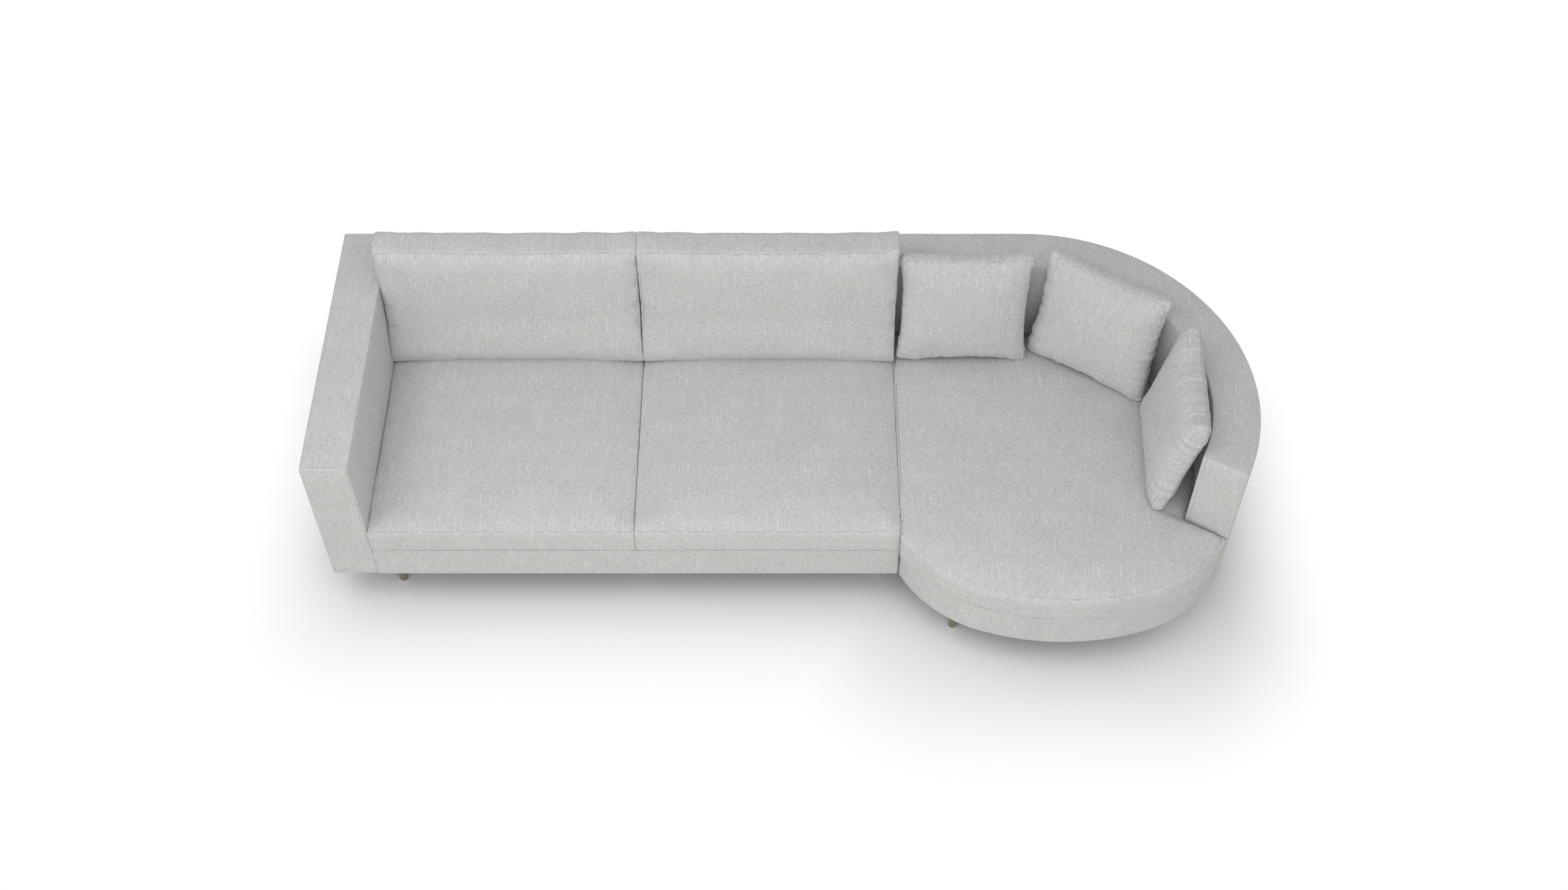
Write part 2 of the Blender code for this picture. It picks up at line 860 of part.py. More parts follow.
def leg_places():
    """Where each leg stands, and how far it is turned."""
    left = WALL + LEG_SIDE_INSET
    middle = (WALL + TWO_SEAT_LENGTH) / 2
    right = TWO_SEAT_LENGTH - LEG_RIGHT_INSET
    rear = BODY_DEPTH - LEG_REAR_INSET
    nose_left = NOSE_X - LEG_NOSE_LEFT
    nose_right = NOSE_X + LEG_NOSE_RIGHT
    curve = math.pi / 4
    curved = arc_point(CURVE_RADIUS - LEG_REAR_INSET, curve)
    return {
        "front_left": (left, LEG_FRONT_INSET, 0),
        "front_middle": (middle, LEG_MIDDLE_INSET, 0),
        "front_right": (right, LEG_MIDDLE_INSET, 0),
        "rear_left": (left, rear, 0),
        "rear_right": (right, rear, 0),
        "chaise_front_left": (nose_left, nose_front(nose_left, LEG_NOSE_INSET), 0),
        "chaise_front_right": (nose_right, nose_front(nose_right, LEG_NOSE_INSET), 0),
        "chaise_rear_left": (CHAISE_LEFT + LEG_CHAISE_REAR, rear, 0),
        "chaise_rear_right": (*curved, curve),
    }


def make_legs(finish):
    leg, glide = leg_mesh(finish["nickel"]), glide_mesh(finish["glide"])
    made = []
    for place, (x, y, turn) in leg_places().items():
        for name, mesh in (("leg_" + place, leg), ("glide_" + place, glide)):
            piece = bpy.data.objects.new(name, mesh)
            piece.location = (x, y, 0)
            piece.rotation_euler.z = turn
            bpy.context.scene.collection.objects.link(piece)
            made.append(piece)
    return made


def tongue(clearance):
    """Half of the dovetail outline, from the neck to the head."""
    neck = COUPLING_NECK / 2 + clearance
    head = COUPLING_HEAD / 2 + clearance
    return neck, head


def make_couplings(finish):
    """Two flat plates that hook into each other where the sections meet."""
    top = BODY_BOTTOM - FIT
    low = top - COUPLING_THICKNESS
    half = COUPLING_WIDTH / 2
    edge = TWO_SEAT_LENGTH - PADDING
    face = edge + COUPLING_TONGUE
    neck, head = tongue(0)
    hook = [
        (edge - COUPLING_LENGTH, -half),
        (edge, -half),
        (edge, -neck),
        (face, -head),
        (face, head),
        (edge, neck),
        (edge, half),
        (edge - COUPLING_LENGTH, half),
    ]
    wide_neck, wide_head = tongue(COUPLING_CLEARANCE)
    start = edge + COUPLING_CLEARANCE
    bottom = face + COUPLING_CLEARANCE
    socket = [
        (start, -half),
        (bottom + COUPLING_LENGTH, -half),
        (bottom + COUPLING_LENGTH, half),
        (start, half),
        (start, wide_neck),
        (bottom, wide_head),
        (bottom, -wide_head),
        (start, -wide_neck),
    ]
    made = []
    for name, outline in (("coupling_hook", hook), ("coupling_socket", socket)):
        placed = [(x, y + COUPLING_PLACE) for x, y in outline]
        made.append(add_object(name, prism(placed, low, top), finish["spring"]))
    return made


# Loose cushions


def pad_outline(width, height, corner, draw):
    """A rounded oblong about its middle, whose sides are drawn in between its corners."""
    across, up = width / 2 - corner, height / 2 - corner
    centres = ((across, -up), (across, up), (-across, up), (-across, -up))
    inward = ((-1, 0), (0, -1), (1, 0), (0, 1))
    arcs = [
        arc(x, y, corner, math.pi / 2 * (i - 1), math.pi / 2 * i, PAD_CORNER_FACETS)
        for i, (x, y) in enumerate(centres)
    ]
    points = []
    for i, bend in enumerate(arcs):
        points += bend
        (x0, y0), (x1, y1) = bend[-1], arcs[(i + 1) % 4][0]
        for step in range(1, PAD_SIDE_FACETS):
            share = step / PAD_SIDE_FACETS
            bow = draw * math.sin(math.pi * share)
            x = x0 + (x1 - x0) * share + inward[i][0] * bow
            y = y0 + (y1 - y0) * share + inward[i][1] * bow
            points.append((x, y))
    return points


def draw_in(outline, centre, share):
    """The outline drawn in to a share of its size, and rounder the smaller it gets."""
    offsets = [(x - centre[0], y - centre[1]) for x, y in outline]
    reach_x = [abs(min(x for x, _ in offsets)), max(x for x, _ in offsets)]
    reach_y = [abs(min(y for _, y in offsets)), max(y for _, y in offsets)]
    points = []
    for x, y in offsets:
        round_share = 1 / math.hypot(x / reach_x[x > 0], y / reach_y[y > 0])
        reach = share * (share + (1 - share) * round_share)
        points.append((centre[0] + x * reach, centre[1] + y * reach))
    return points


def crown_share(share):
    """How much of the crown has risen at this share of the way out to the seam."""
    return 1 - share**CROWN_POWER


def boxed_rings(outline_at, centre, place, crown):
    """Boxing between two seams that bulges, then the crowned face. place lifts a point."""
    rings = [[place(x, y, 0, 0) for x, y in outline_at(SEAM_DRAW)]]
    for share in BOXING_BULGE_SHARES:
        rings.append([place(x, y, share, 0) for x, y in outline_at(0)])
    face = outline_at(SEAM_DRAW)
    rings.append([place(x, y, 1, 0) for x, y in face])
    for share in CROWN_RING_SHARES:
        lift = crown * crown_share(share)
        rings.append([place(x, y, 1, lift) for x, y in draw_in(face, centre, share)])
    return rings, place(*centre, 1, crown)


def add_cushion(name, rings, tips, origin, finish):
    """The mesh is kept about the piece's own origin, on the line that it lifts along."""
    shape = loft(rings, *tips)
    bmesh.ops.translate(shape, verts=shape.verts, vec=-origin)
    made = add_object(name, shape, finish["linen"], smooth=True)
    made.location = origin
    return made


def gap_above(lower, upper):
    """The least upright gap between two pieces, under and over the points of both."""
    trees, points = [], []
    for piece in (lower, upper):
        corners = [corner.co + piece.location for corner in piece.data.vertices]
        faces = [tuple(face.vertices) for face in piece.data.polygons]
        trees.append(BVHTree.FromPolygons(corners, faces))
        points += corners + [face.center + piece.location for face in piece.data.polygons]
        points += [
            (corners[edge.vertices[0]] + corners[edge.vertices[1]]) / 2
            for edge in piece.data.edges
        ]
    above = Vector((0, 0, 2 * BODY_TOP))
    gaps = []
    for point in points:
        plan = Vector((point.x, point.y, 0))
        top = trees[0].ray_cast(plan + above, -above)[0]
        underside = trees[1].ray_cast(plan - above, above)[0]
        if top is not None and underside is not None:
            gaps.append(underside.z - top.z)
    return min(gaps)


def settle(upper, lower):
    upper.location.z += FIT - gap_above(lower, upper)


def make_seat_cushions(finish):
    left = WALL + SEAT_SIDE_GAP
    right = TWO_SEAT_LENGTH - SEAT_SIDE_GAP
    width = (right - left - SEAT_SPLIT_GAP) / 2
    front, rear = -SEAT_PROUD, SEAT_REAR - FIT
    base = BASE_TOP + FIT
    height = SEAM_Z - base
    made = []
    for name, start in (
        ("seat_cushion_left", left),
        ("seat_cushion_right", right - width),
    ):
        centre = (start + width / 2, (front + rear) / 2)

        def outline_at(inset):
            plan = pad_outline(
                width - 2 * inset, rear - front - 2 * inset, SEAT_CORNER, SIDE_DRAW
            )
            return [(centre[0] + x, centre[1] + y) for x, y in plan]

        def place(x, y, level, lift):
            return Vector((x, y, base + height * level + lift))

        rings, tip = boxed_rings(outline_at, centre, place, SEAT_CROWN)
        origin = Vector((*centre, base))
        made.append(add_cushion(name, rings, (None, tip), origin, finish))
    return made


def make_chaise_cushion(finish):
    centre = (NOSE_X, (SEAT_REAR + NOSE_FRONT) / 2 - WALL)
    base = BASE_TOP + FIT
    height = SEAM_Z - base

    def outline_at(inset):
        return chaise_seat_outline(inset - SEAT_PROUD, SEAT_SIDE_GAP + inset)

    def place(x, y, level, lift):
        return Vector((x, y, base + height * level + lift))

    rings, tip = boxed_rings(outline_at, centre, place, SEAT_CROWN)
    origin = Vector((*centre, base))
    return add_cushion("chaise_cushion", rings, (None, tip), origin, finish)


def make_back_cushions(seats, finish):
    left = WALL + SEAT_SIDE_GAP
    right = TWO_SEAT_LENGTH - SEAT_SIDE_GAP
    width = (right - left - SEAT_SPLIT_GAP) / 2
    rear = SEAT_REAR - FIT
    base = SEAM_Z + SEAT_CROWN
    made = []
    for name, start, seat in (
        ("back_cushion_left", left, seats[0]),
        ("back_cushion_right", right - width, seats[1]),
    ):
        centre = (start + width / 2, BACK_HEIGHT / 2)

        def outline_at(inset):
            face = pad_outline(
                width - 2 * inset, BACK_HEIGHT - 2 * inset, BACK_CORNER, BACK_SIDE_DRAW
            )
            return [(centre[0] + x, centre[1] + y) for x, y in face]

        def place(x, up, level, lift):
            share = up / BACK_HEIGHT
            depth = BACK_BASE_DEPTH + (BACK_TOP_DEPTH - BACK_BASE_DEPTH) * share
            return Vector((x, rear - depth * level - lift, base + up))

        rings, tip = boxed_rings(outline_at, centre, place, BACK_CROWN)
        origin = Vector((centre[0], rear - BACK_BASE_DEPTH / 2, base))
        cushion = add_cushion(name, rings, (None, tip), origin, finish)
        settle(cushion, seat)
        made.append(cushion)
    return made


def pillow_rings(turn):
    """A boxed pillow about its middle, facing the front, leant back and turned."""
    outline = pad_outline(PILLOW_WIDTH, PILLOW_HEIGHT, PILLOW_CORNER, PILLOW_DRAW)
    tilt = Matrix.Rotation(turn, 3, "Z") @ Matrix.Rotation(-PILLOW_LEAN, 3, "X")
    edge = PILLOW_BOXING / 2
    swell = PILLOW_THICKNESS / 2 - edge

    def ring(share, depth):
        return [tilt @ Vector((x, depth, y)) for x, y in draw_in(outline, (0, 0), share)]

    half = [(1, edge / 2), (PILLOW_SEAM_SHARE, edge)]
    half += [(share, edge + swell * (1 - share**PILLOW_POWER)) for share in PILLOW_RING_SHARES]
    rings = [ring(share, depth) for share, depth in half[::-1]]
    rings += [ring(share, -depth) for share, depth in half]
    tips = [tilt @ Vector((0, side * PILLOW_THICKNESS / 2, 0)) for side in (1, -1)]
    return rings, tips


def push_to_wall(points, place, away):
    """How far a pillow moves along away until it meets the inner side of the curved back.
    Its top stands above the back, so only what is lower can meet it."""
    reach = INNER_RADIUS - PILLOW_EASE
    overlap = BODY_TOP - SEAM_Z - SEAT_CROWN - PILLOW_HEIGHT / 2
    moves = []
    for point in points:
        if point.z > overlap:
            continue
        x, y = place[0] + point.x - CURVE_X, place[1] + point.y - CURVE_Y
        if away.x == 0:
            moves.append(reach - y)
            continue
        along = x * away.x + y * away.y
        moves.append(math.sqrt(along**2 - x**2 - y**2 + reach**2) - along)
    return min(moves)


def make_pillows(seat, finish):
    straight = CHAISE_LEFT + SEAT_SIDE_GAP + PILLOW_WIDTH / 2 + FIT
    reach = INNER_RADIUS / 2
    quarter = math.pi / 2
    layout = (
        ("pillow_left", (straight, CURVE_Y), 0),
        ("pillow_middle", arc_point(reach, PILLOW_MIDDLE_TURN), PILLOW_MIDDLE_TURN - quarter),
        ("pillow_right", arc_point(reach, PILLOW_RIGHT_TURN), PILLOW_RIGHT_TURN - quarter),
    )
    made = []
    for name, place, turn in layout:
        rings, tips = pillow_rings(turn)
        away = Vector((-math.sin(turn), math.cos(turn)))
        points = [point for ring in rings for point in ring] + tips
        move = push_to_wall(points, place, away)
        origin = Vector((place[0] + away.x * move, place[1] + away.y * move, BODY_TOP))
        rings = [[point + origin for point in ring] for ring in rings]
        pillow = add_cushion(name, rings, [tip + origin for tip in tips], origin, finish)
        settle(pillow, seat)
        made.append(pillow)
    return made


# The whole sofa


def hold(pieces, parent):
    for piece in pieces:
        piece.parent = parent
        piece.location -= parent.location if parent.type == "MESH" else Vector()


def main():
    for old in list(bpy.data.objects):
        bpy.data.objects.remove(old)
    finish = make_materials()
    root = bpy.data.objects.new("sofa_origin", None)
    bpy.context.scene.collection.objects.link(root)
    fixed = make_two_seat_covers(finish) + make_chaise_covers(finish)
    fixed += make_two_seat_frame(finish) + make_arm_frame(finish) + make_back_frame(finish)
    fixed += make_chaise_frame(finish) + make_curved_back_frame(finish)
    fixed += make_springs(finish) + make_cloths(finish)
    fixed += make_legs(finish) + make_couplings(finish)
    seats = make_seat_cushions(finish)
    backs = make_back_cushions(seats, finish)
    chaise = make_chaise_cushion(finish)
    pillows = make_pillows(chaise, finish)
    for back, seat in zip(backs, seats):
        hold([back], seat)
    hold(pillows, chaise)
    hold(fixed + seats + [chaise], root)
    helpers = [piece for piece in bpy.data.objects if piece.hide_render]
    hold(helpers, root)
    root.location = ORIGIN


main()
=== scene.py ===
# A two-seater joined to a rounded chaise, upholstered in light grey linen on nickel legs.
# Metres, +Z up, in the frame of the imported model.

import math

import bpy
import numpy as np
from mathutils import Matrix, Vector, noise


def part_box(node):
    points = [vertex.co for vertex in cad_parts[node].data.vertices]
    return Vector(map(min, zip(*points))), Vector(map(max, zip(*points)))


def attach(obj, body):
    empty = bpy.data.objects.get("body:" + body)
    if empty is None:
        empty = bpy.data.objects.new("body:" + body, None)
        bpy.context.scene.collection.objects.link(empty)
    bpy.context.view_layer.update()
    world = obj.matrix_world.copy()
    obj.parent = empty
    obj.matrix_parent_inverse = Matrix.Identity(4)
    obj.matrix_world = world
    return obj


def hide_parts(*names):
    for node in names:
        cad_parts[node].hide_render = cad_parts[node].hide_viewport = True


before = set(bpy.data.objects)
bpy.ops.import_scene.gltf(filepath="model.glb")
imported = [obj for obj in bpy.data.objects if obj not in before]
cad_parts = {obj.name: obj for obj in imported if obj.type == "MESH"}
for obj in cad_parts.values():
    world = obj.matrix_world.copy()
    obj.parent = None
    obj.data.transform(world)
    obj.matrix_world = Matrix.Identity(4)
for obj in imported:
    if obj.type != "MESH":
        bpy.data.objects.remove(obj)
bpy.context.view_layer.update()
print("frame loaded:", len(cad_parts), "nodes")


def pickOnly(piece):
    bpy.ops.object.select_all(action="DESELECT")
    piece.select_set(True)
    bpy.context.view_layer.objects.active = piece


def startEdit(piece):
    pickOnly(piece)
    bpy.ops.object.mode_set(mode="EDIT")
    bpy.ops.mesh.select_all(action="DESELECT")


def endEdit():
    bpy.ops.object.mode_set(mode="OBJECT")


def pickFaces(piece, wanted):
    # opens the piece for editing with only these faces picked, by their middle and normal
    startEdit(piece)
    endEdit()
    for face in piece.data.polygons:
        face.select = wanted(face.center, face.normal)
    bpy.ops.object.mode_set(mode="EDIT")


def pickEdges(piece, wanted):
    # opens the piece for editing with only these edges picked, by their two ends
    startEdit(piece)
    endEdit()
    points = piece.data.vertices
    for edge in piece.data.edges:
        edge.select = wanted(points[edge.vertices[0]].co, points[edge.vertices[1]].co)
    bpy.ops.object.mode_set(mode="EDIT")


def readVectors(items, field):
    values = np.zeros(len(items) * 3)
    items.foreach_get(field, values)
    return values.reshape(-1, 3)


def readPoints(mesh):
    return readVectors(mesh.vertices, "co")


def readNormals(mesh):
    return readVectors(mesh.vertices, "normal")


def writePoints(mesh, points):
    mesh.vertices.foreach_set("co", points.ravel())
    mesh.update()


def applyModifier(piece, kind, settings):
    pickOnly(piece)
    modifier = piece.modifiers.new(kind.title(), kind)
    for key, value in settings.items():
        setattr(modifier, key, value)
    bpy.ops.object.modifier_apply(modifier=modifier.name)


def copyNode(node, name):
    # a merged copy of a CAD node, without the normals it came with
    piece = bpy.data.objects.new(name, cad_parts[node].data.copy())
    bpy.context.scene.collection.objects.link(piece)
    piece.data.materials.clear()
    startEdit(piece)
    bpy.ops.mesh.select_all(action="SELECT")
    bpy.ops.mesh.remove_doubles(threshold=0.00001)
    endEdit()
    bpy.ops.mesh.customdata_custom_splitnormals_clear()
    return piece


def addBlock(name, low, high):
    bpy.ops.object.select_all(action="DESELECT")
    bpy.ops.mesh.primitive_cube_add(size=1, location=(low + high) / 2)
    block = bpy.context.object
    block.name = name
    block.scale = high - low
    pickOnly(block)
    bpy.ops.object.transform_apply(location=True, rotation=True, scale=True)
    return block


def rise(values, start, end):
    # from 0 to 1 between start and end, gently at both
    share = np.clip((values - start) / (end - start), 0, 1)
    return share * share * (3 - 2 * share)


def ripple(points, size, seed):
    # soft unevenness of stuffed cloth, one value per point, from -1 to 1
    offset = Vector((seed * 3.1, seed * 1.7, seed * 0.9))
    return np.array([noise.noise(Vector(point) / size + offset) for point in points])


def cutPlane(piece, place, normal):
    startEdit(piece)
    bpy.ops.mesh.select_all(action="SELECT")
    bpy.ops.mesh.bisect(plane_co=place, plane_no=normal)
    endEdit()


# how close to its plane a seam's point lies, and how far its surface may lean to the plane
seamLimits = {"onPlane": 0.00002, "leastSlope": 0.25}


def sewSeam(piece, place, normal, width, depth, wanted):
    # three rows of edges are cut round the piece, and the middle one is drawn in
    place, normal = np.array(place), np.array(normal) / np.linalg.norm(normal)
    for shift in (-width / 2, 0, width / 2):
        cutPlane(piece, place + normal * shift, normal)
    points = readPoints(piece.data)
    normals = readNormals(piece.data)
    away = np.abs((points - place) @ normal)
    flat = normals - np.outer(normals @ normal, normal)
    length = np.linalg.norm(flat, axis=1)
    chosen = (away < seamLimits["onPlane"]) & (length > seamLimits["leastSlope"])
    chosen &= wanted(points)
    points[chosen] -= flat[chosen] / length[chosen][:, None] * depth
    writePoints(piece.data, points)


weaveMap = {
    # a face counts as a top or bottom from this much of its normal, and as the end panel
    # of the curved wall below this much of it pointing out from the arc's centre
    "upright": 0.64,
    "endPanel": 0.5,
    # the panels are cut from the cloth at different places
    "sideShift": 0.37,
    "heightShift": 0.11,
}


def layCloth(piece, turn=None, centre=None):
    # the weave's own map in metres: u across the threads, v along them,
    # panel by panel as the cloth is cut
    mesh = piece.data
    points = readPoints(mesh)
    normals = readVectors(mesh.polygons, "normal")
    if turn is not None:
        back = np.array(turn.to_3x3().transposed())
        points = points @ back.T
        normals = normals @ back.T
    corners = np.zeros(len(mesh.loops), int)
    mesh.loops.foreach_get("vertex_index", corners)
    totals = np.zeros(len(mesh.polygons), int)
    mesh.polygons.foreach_get("loop_total", totals)
    owner = np.repeat(np.arange(len(mesh.polygons)), totals)
    spot = points[corners]
    facing = np.abs(normals)[owner]
    up = facing[:, 2] > weaveMap["upright"]
    front = ~up & (facing[:, 1] >= facing[:, 0])
    u = np.where(up | front, spot[:, 0], spot[:, 1] + weaveMap["sideShift"])
    v = np.where(up, spot[:, 1], spot[:, 2] + weaveMap["heightShift"])
    if centre is not None:
        # round the curved wall the cloth follows the arc, at the radius given with its centre
        turned = np.arctan2(spot[:, 1] - centre[1], spot[:, 0] - centre[0])
        onWall = ~up & (spot[:, 0] > centre[0])
        u = np.where(onWall, centre[0] + (math.pi / 2 - turned) * centre[2], u)
        # and across the wall's end panel it runs out from the centre
        radial = np.abs(normals[owner, 0] * np.cos(turned) + normals[owner, 1] * np.sin(turned))
        outwards = np.hypot(spot[:, 0] - centre[0], spot[:, 1] - centre[1])
        u = np.where(onWall & (radial < weaveMap["endPanel"]), outwards, u)
    layer = mesh.uv_layers.get("cloth") or mesh.uv_layers.new(name="cloth")
    layer.data.foreach_set("uv", np.column_stack((u, v)).astype(np.float32).ravel())


def hexColour(text):
    parts = [int(text[start : start + 2], 16) / 255 for start in (0, 2, 4)]
    return [p / 12.92 if p <= 0.04045 else ((p + 0.055) / 1.055) ** 2.4 for p in parts] + [1]


def addNode(tree, kind, place, settings, links):
    node = tree.nodes.new(kind)
    node.location = place
    for key, value in settings.items():
        if isinstance(key, int) or key in node.inputs:
            node.inputs[key].default_value = value
        else:
            setattr(node, key, value)
    for key, source in links.items():
        tree.links.new(source, node.inputs[key])
    return node


def startMaterial(name):
    material = bpy.data.materials.new(name)
    material.use_nodes = True
    material.node_tree.nodes.clear()
    return material, material.node_tree


def finishSurface(tree, shader, colour, height, bump):
    relief = addNode(tree, "ShaderNodeBump", (300, -300), bump, {"Height": height})
    surface = addNode(
        tree,
        "ShaderNodeBsdfPrincipled",
        (600, 0),
        shader,
        {"Base Color": colour, "Normal": relief.outputs[0]},
    )
    addNode(tree, "ShaderNodeOutputMaterial", (900, 0), {}, {"Surface": surface.outputs[0]})


linen = {
    "pale": "D5D4D2",
    "deep": "A9A8A6",
    "slub": "E8E7E6",
    # each kind of mark: metres across the cloth, metres along it, the noise levels where
    # it begins and is full, and its detail
    "warpSlubs": (0.0016, 0.090, 0.62, 0.76, 1.0),
    "weftSlubs": (0.036, 0.00128, 0.66, 0.80, 1.0),
    "warpYarns": (0.0011, 0.017, 0.28, 0.72, 1.0),
    "weftYarns": (0.017, 0.0011, 0.28, 0.72, 1.0),
    # long faint streaks down the warp, where one yarn is paler than the next
    "streaks": (0.0026, 0.22, 0.60, 0.78, 1.0),
    "clouds": (0.12, 0.12, 0.30, 0.70, 2.0),
    "slubShare": 0.52,
    "weftSlubShare": 0.7,
    "streakShare": 2.2,
    "slubHeight": 0.5,
    "shades": (0.980, 1.12),
    "shader": {"Roughness": 0.90, "Sheen Weight": 0.12, "Sheen Roughness": 0.5},
    "bump": {"Strength": 0.5, "Distance": 0.0004},
}


def makeLinen():
    # linen-look polyester, plain woven from uneven yarn: thicker slubs show as pale dashes,
    # mostly down the warp, over a fine crosshatch, with a dull, slightly fuzzy surface.
    # The real yarns are about 0.6 mm apart and are drawn at 1.1 mm, so that they show.
    material, tree = startMaterial("linenWeave")
    uv = addNode(tree, "ShaderNodeUVMap", (-1600, 0), {"uv_map": "cloth"}, {})

    def marks(place, kind):
        # each kind of mark has its own part of the noise
        across, along, low, high, detail = linen[kind]
        mapping = addNode(
            tree,
            "ShaderNodeMapping",
            (-1400, place),
            {"Scale": (1 / across, 1 / along, 1), "Location": (place * 0.37, place * 0.73, 0)},
            {"Vector": uv.outputs[0]},
        )
        grain = addNode(
            tree,
            "ShaderNodeTexNoise",
            (-1200, place),
            {"noise_dimensions": "2D", "Scale": 1.0, "Detail": detail, "Roughness": 0.6},
            {"Vector": mapping.outputs[0]},
        )
        return addNode(
            tree,
            "ShaderNodeMapRange",
            (-1000, place),
            {"From Min": low, "From Max": high},
            {"Value": grain.outputs[0]},
        ).outputs[0]

    slubs = addNode(
        tree,
        "ShaderNodeMath",
        (-700, 400),
        {"operation": "MULTIPLY_ADD", 1: linen["weftSlubShare"]},
        {0: marks(300, "weftSlubs"), 2: marks(600, "warpSlubs")},
    ).outputs[0]
    crossed = addNode(
        tree,
        "ShaderNodeMix",
        (-700, -100),
        {"data_type": "FLOAT", "Factor": 0.5},
        {2: marks(0, "warpYarns"), 3: marks(-300, "weftYarns")},
    ).outputs[0]
    ground = addNode(
        tree,
        "ShaderNodeMix",
        (-450, 0),
        {"data_type": "RGBA", 6: hexColour(linen["deep"]), 7: hexColour(linen["pale"])},
        {"Factor": crossed},
    )
    strength = addNode(
        tree,
        "ShaderNodeMath",
        (-450, 400),
        {"operation": "MULTIPLY", 1: linen["slubShare"], "use_clamp": True},
        {0: slubs},
    )
    dashed = addNode(
        tree,
        "ShaderNodeMix",
        (-200, 100),
        {"data_type": "RGBA", 7: hexColour(linen["slub"])},
        {"Factor": strength.outputs[0], 6: ground.outputs[2]},
    )
    shade = addNode(
        tree,
        "ShaderNodeMath",
        (-700, -300),
        {"operation": "MULTIPLY_ADD", 1: linen["streakShare"]},
        {0: marks(-600, "streaks"), 2: marks(-900, "clouds")},
    )
    shaded = addNode(
        tree,
        "ShaderNodeMapRange",
        (-200, -300),
        {
            "From Max": 1 + linen["streakShare"],
            "To Min": linen["shades"][0],
            "To Max": linen["shades"][1],
        },
        {"Value": shade.outputs[0]},
    )
    colour = addNode(
        tree,
        "ShaderNodeMix",
        (50, 100),
        {"data_type": "RGBA", "blend_type": "MULTIPLY", "Factor": 1.0},
        {6: dashed.outputs[2], 7: shaded.outputs[0]},
    )
    height = addNode(
        tree,
        "ShaderNodeMath",
        (-700, 600),
        {"operation": "MULTIPLY_ADD", 1: linen["slubHeight"]},
        {0: slubs, 2: crossed},
    )
    finishSurface(tree, linen["shader"], colour.outputs[2], height.outputs[0], linen["bump"])
    return material


def makePlain(name, colours, shader, grain, bumpDepth):
    # one base finish with two close colours, broken up at a real size in Object coordinates
    material, tree = startMaterial(name)
    place = addNode(tree, "ShaderNodeTexCoord", (-1000, 0), {}, {})
    mapping = addNode(
        tree,
        "ShaderNodeMapping",
        (-800, 0),
        {"Scale": [1 / size for size in grain]},
        {"Vector": place.outputs["Object"]},
    )
    cloud = addNode(
        tree,
        "ShaderNodeTexNoise",
        (-600, 0),
        {"Scale": 1.0, "Detail": 3.0},
        {"Vector": mapping.outputs[0]},
    ).outputs[0]
    mixed = addNode(
        tree,
        "ShaderNodeMix",
        (-300, 0),
        {"data_type": "RGBA", 6: hexColour(colours[0]), 7: hexColour(colours[1])},
        {"Factor": cloud},
    )
    finishSurface(
        tree, shader, mixed.outputs[2], cloud, {"Strength": 0.3, "Distance": bumpDepth}
    )
    return material


linenWeave = makeLinen()
# polished nickel plate on steel: a warm grey mirror with small, sharp highlights
polishedNickel = makePlain(
    "polishedNickel",
    ("A9A195", "979083"),
    {"Metallic": 1.0, "Roughness": 0.16},
    (0.02, 0.02, 0.05),
    0.00002,
)
# drawn spring steel with a film of oil: dark grey with a soft, wide shine
springWire = makePlain(
    "oiledSpringWire",
    ("5C5B58", "3F3E3C"),
    {"Metallic": 1.0, "Roughness": 0.38},
    (0.01, 0.01, 0.01),
    0.00005,
)
# planed beech without a finish: dull, pale tan wood with long, slightly darker grain
beechWood = makePlain(
    "planedBeech",
    ("D2AE84", "BC9468"),
    {"Roughness": 0.62},
    (0.012, 0.012, 0.16),
    0.0002,
)
# moulded nylon: milky white, slightly see-through, with a smooth soft gloss
glideNylon = makePlain(
    "mouldedNylon",
    ("EDEDEA", "E4E4E0"),
    {"Roughness": 0.32, "Transmission Weight": 0.45, "IOR": 1.53},
    (0.004, 0.004, 0.004),
    0.00003,
)
# coarse woven deck cloth: dull natural beige, with threads that show as ribs
deckWeave = makePlain(
    "deckCloth",
    ("BDB6A8", "AAA294"),
    {"Roughness": 0.85},
    (0.0016, 0.006, 0.0016),
    0.0003,
)
# felted black underlining: flat charcoal without a shine
underFelt = makePlain(
    "blackUnderlining",
    ("26262A", "1B1B1D"),
    {"Roughness": 0.9},
    (0.003, 0.003, 0.003),
    0.0003,
)
print("materials made")


# Each cushion and pillow starts from its CAD solid, fills out, and then gets its seams.
swelling = {
    # the cover cloth while it fills out: its mass, its stiffness against bending, the steps
    # in each frame, and the frames that it gets
    "mass": 0.25,
    "bending": 0.4,
    "quality": 4,
    "frames": 14,
    # shares of the shrinking before it, across the cushion, up its face and through it
    "shrinkShares": (0.2, 0.2, 1),
    # how far past their room cushions side by side bulge, before they press each other flat
    "pressed": 0.0028,
    # a tight edge is drawn in from this many voxels, and fades out at this many times that
    "tightVoxels": 1.3,
    "tightFade": 5,
    "rippleSize": 0.11,
    # how far a cushion may hang below its CAD solid
    "sag": 0.001,
}


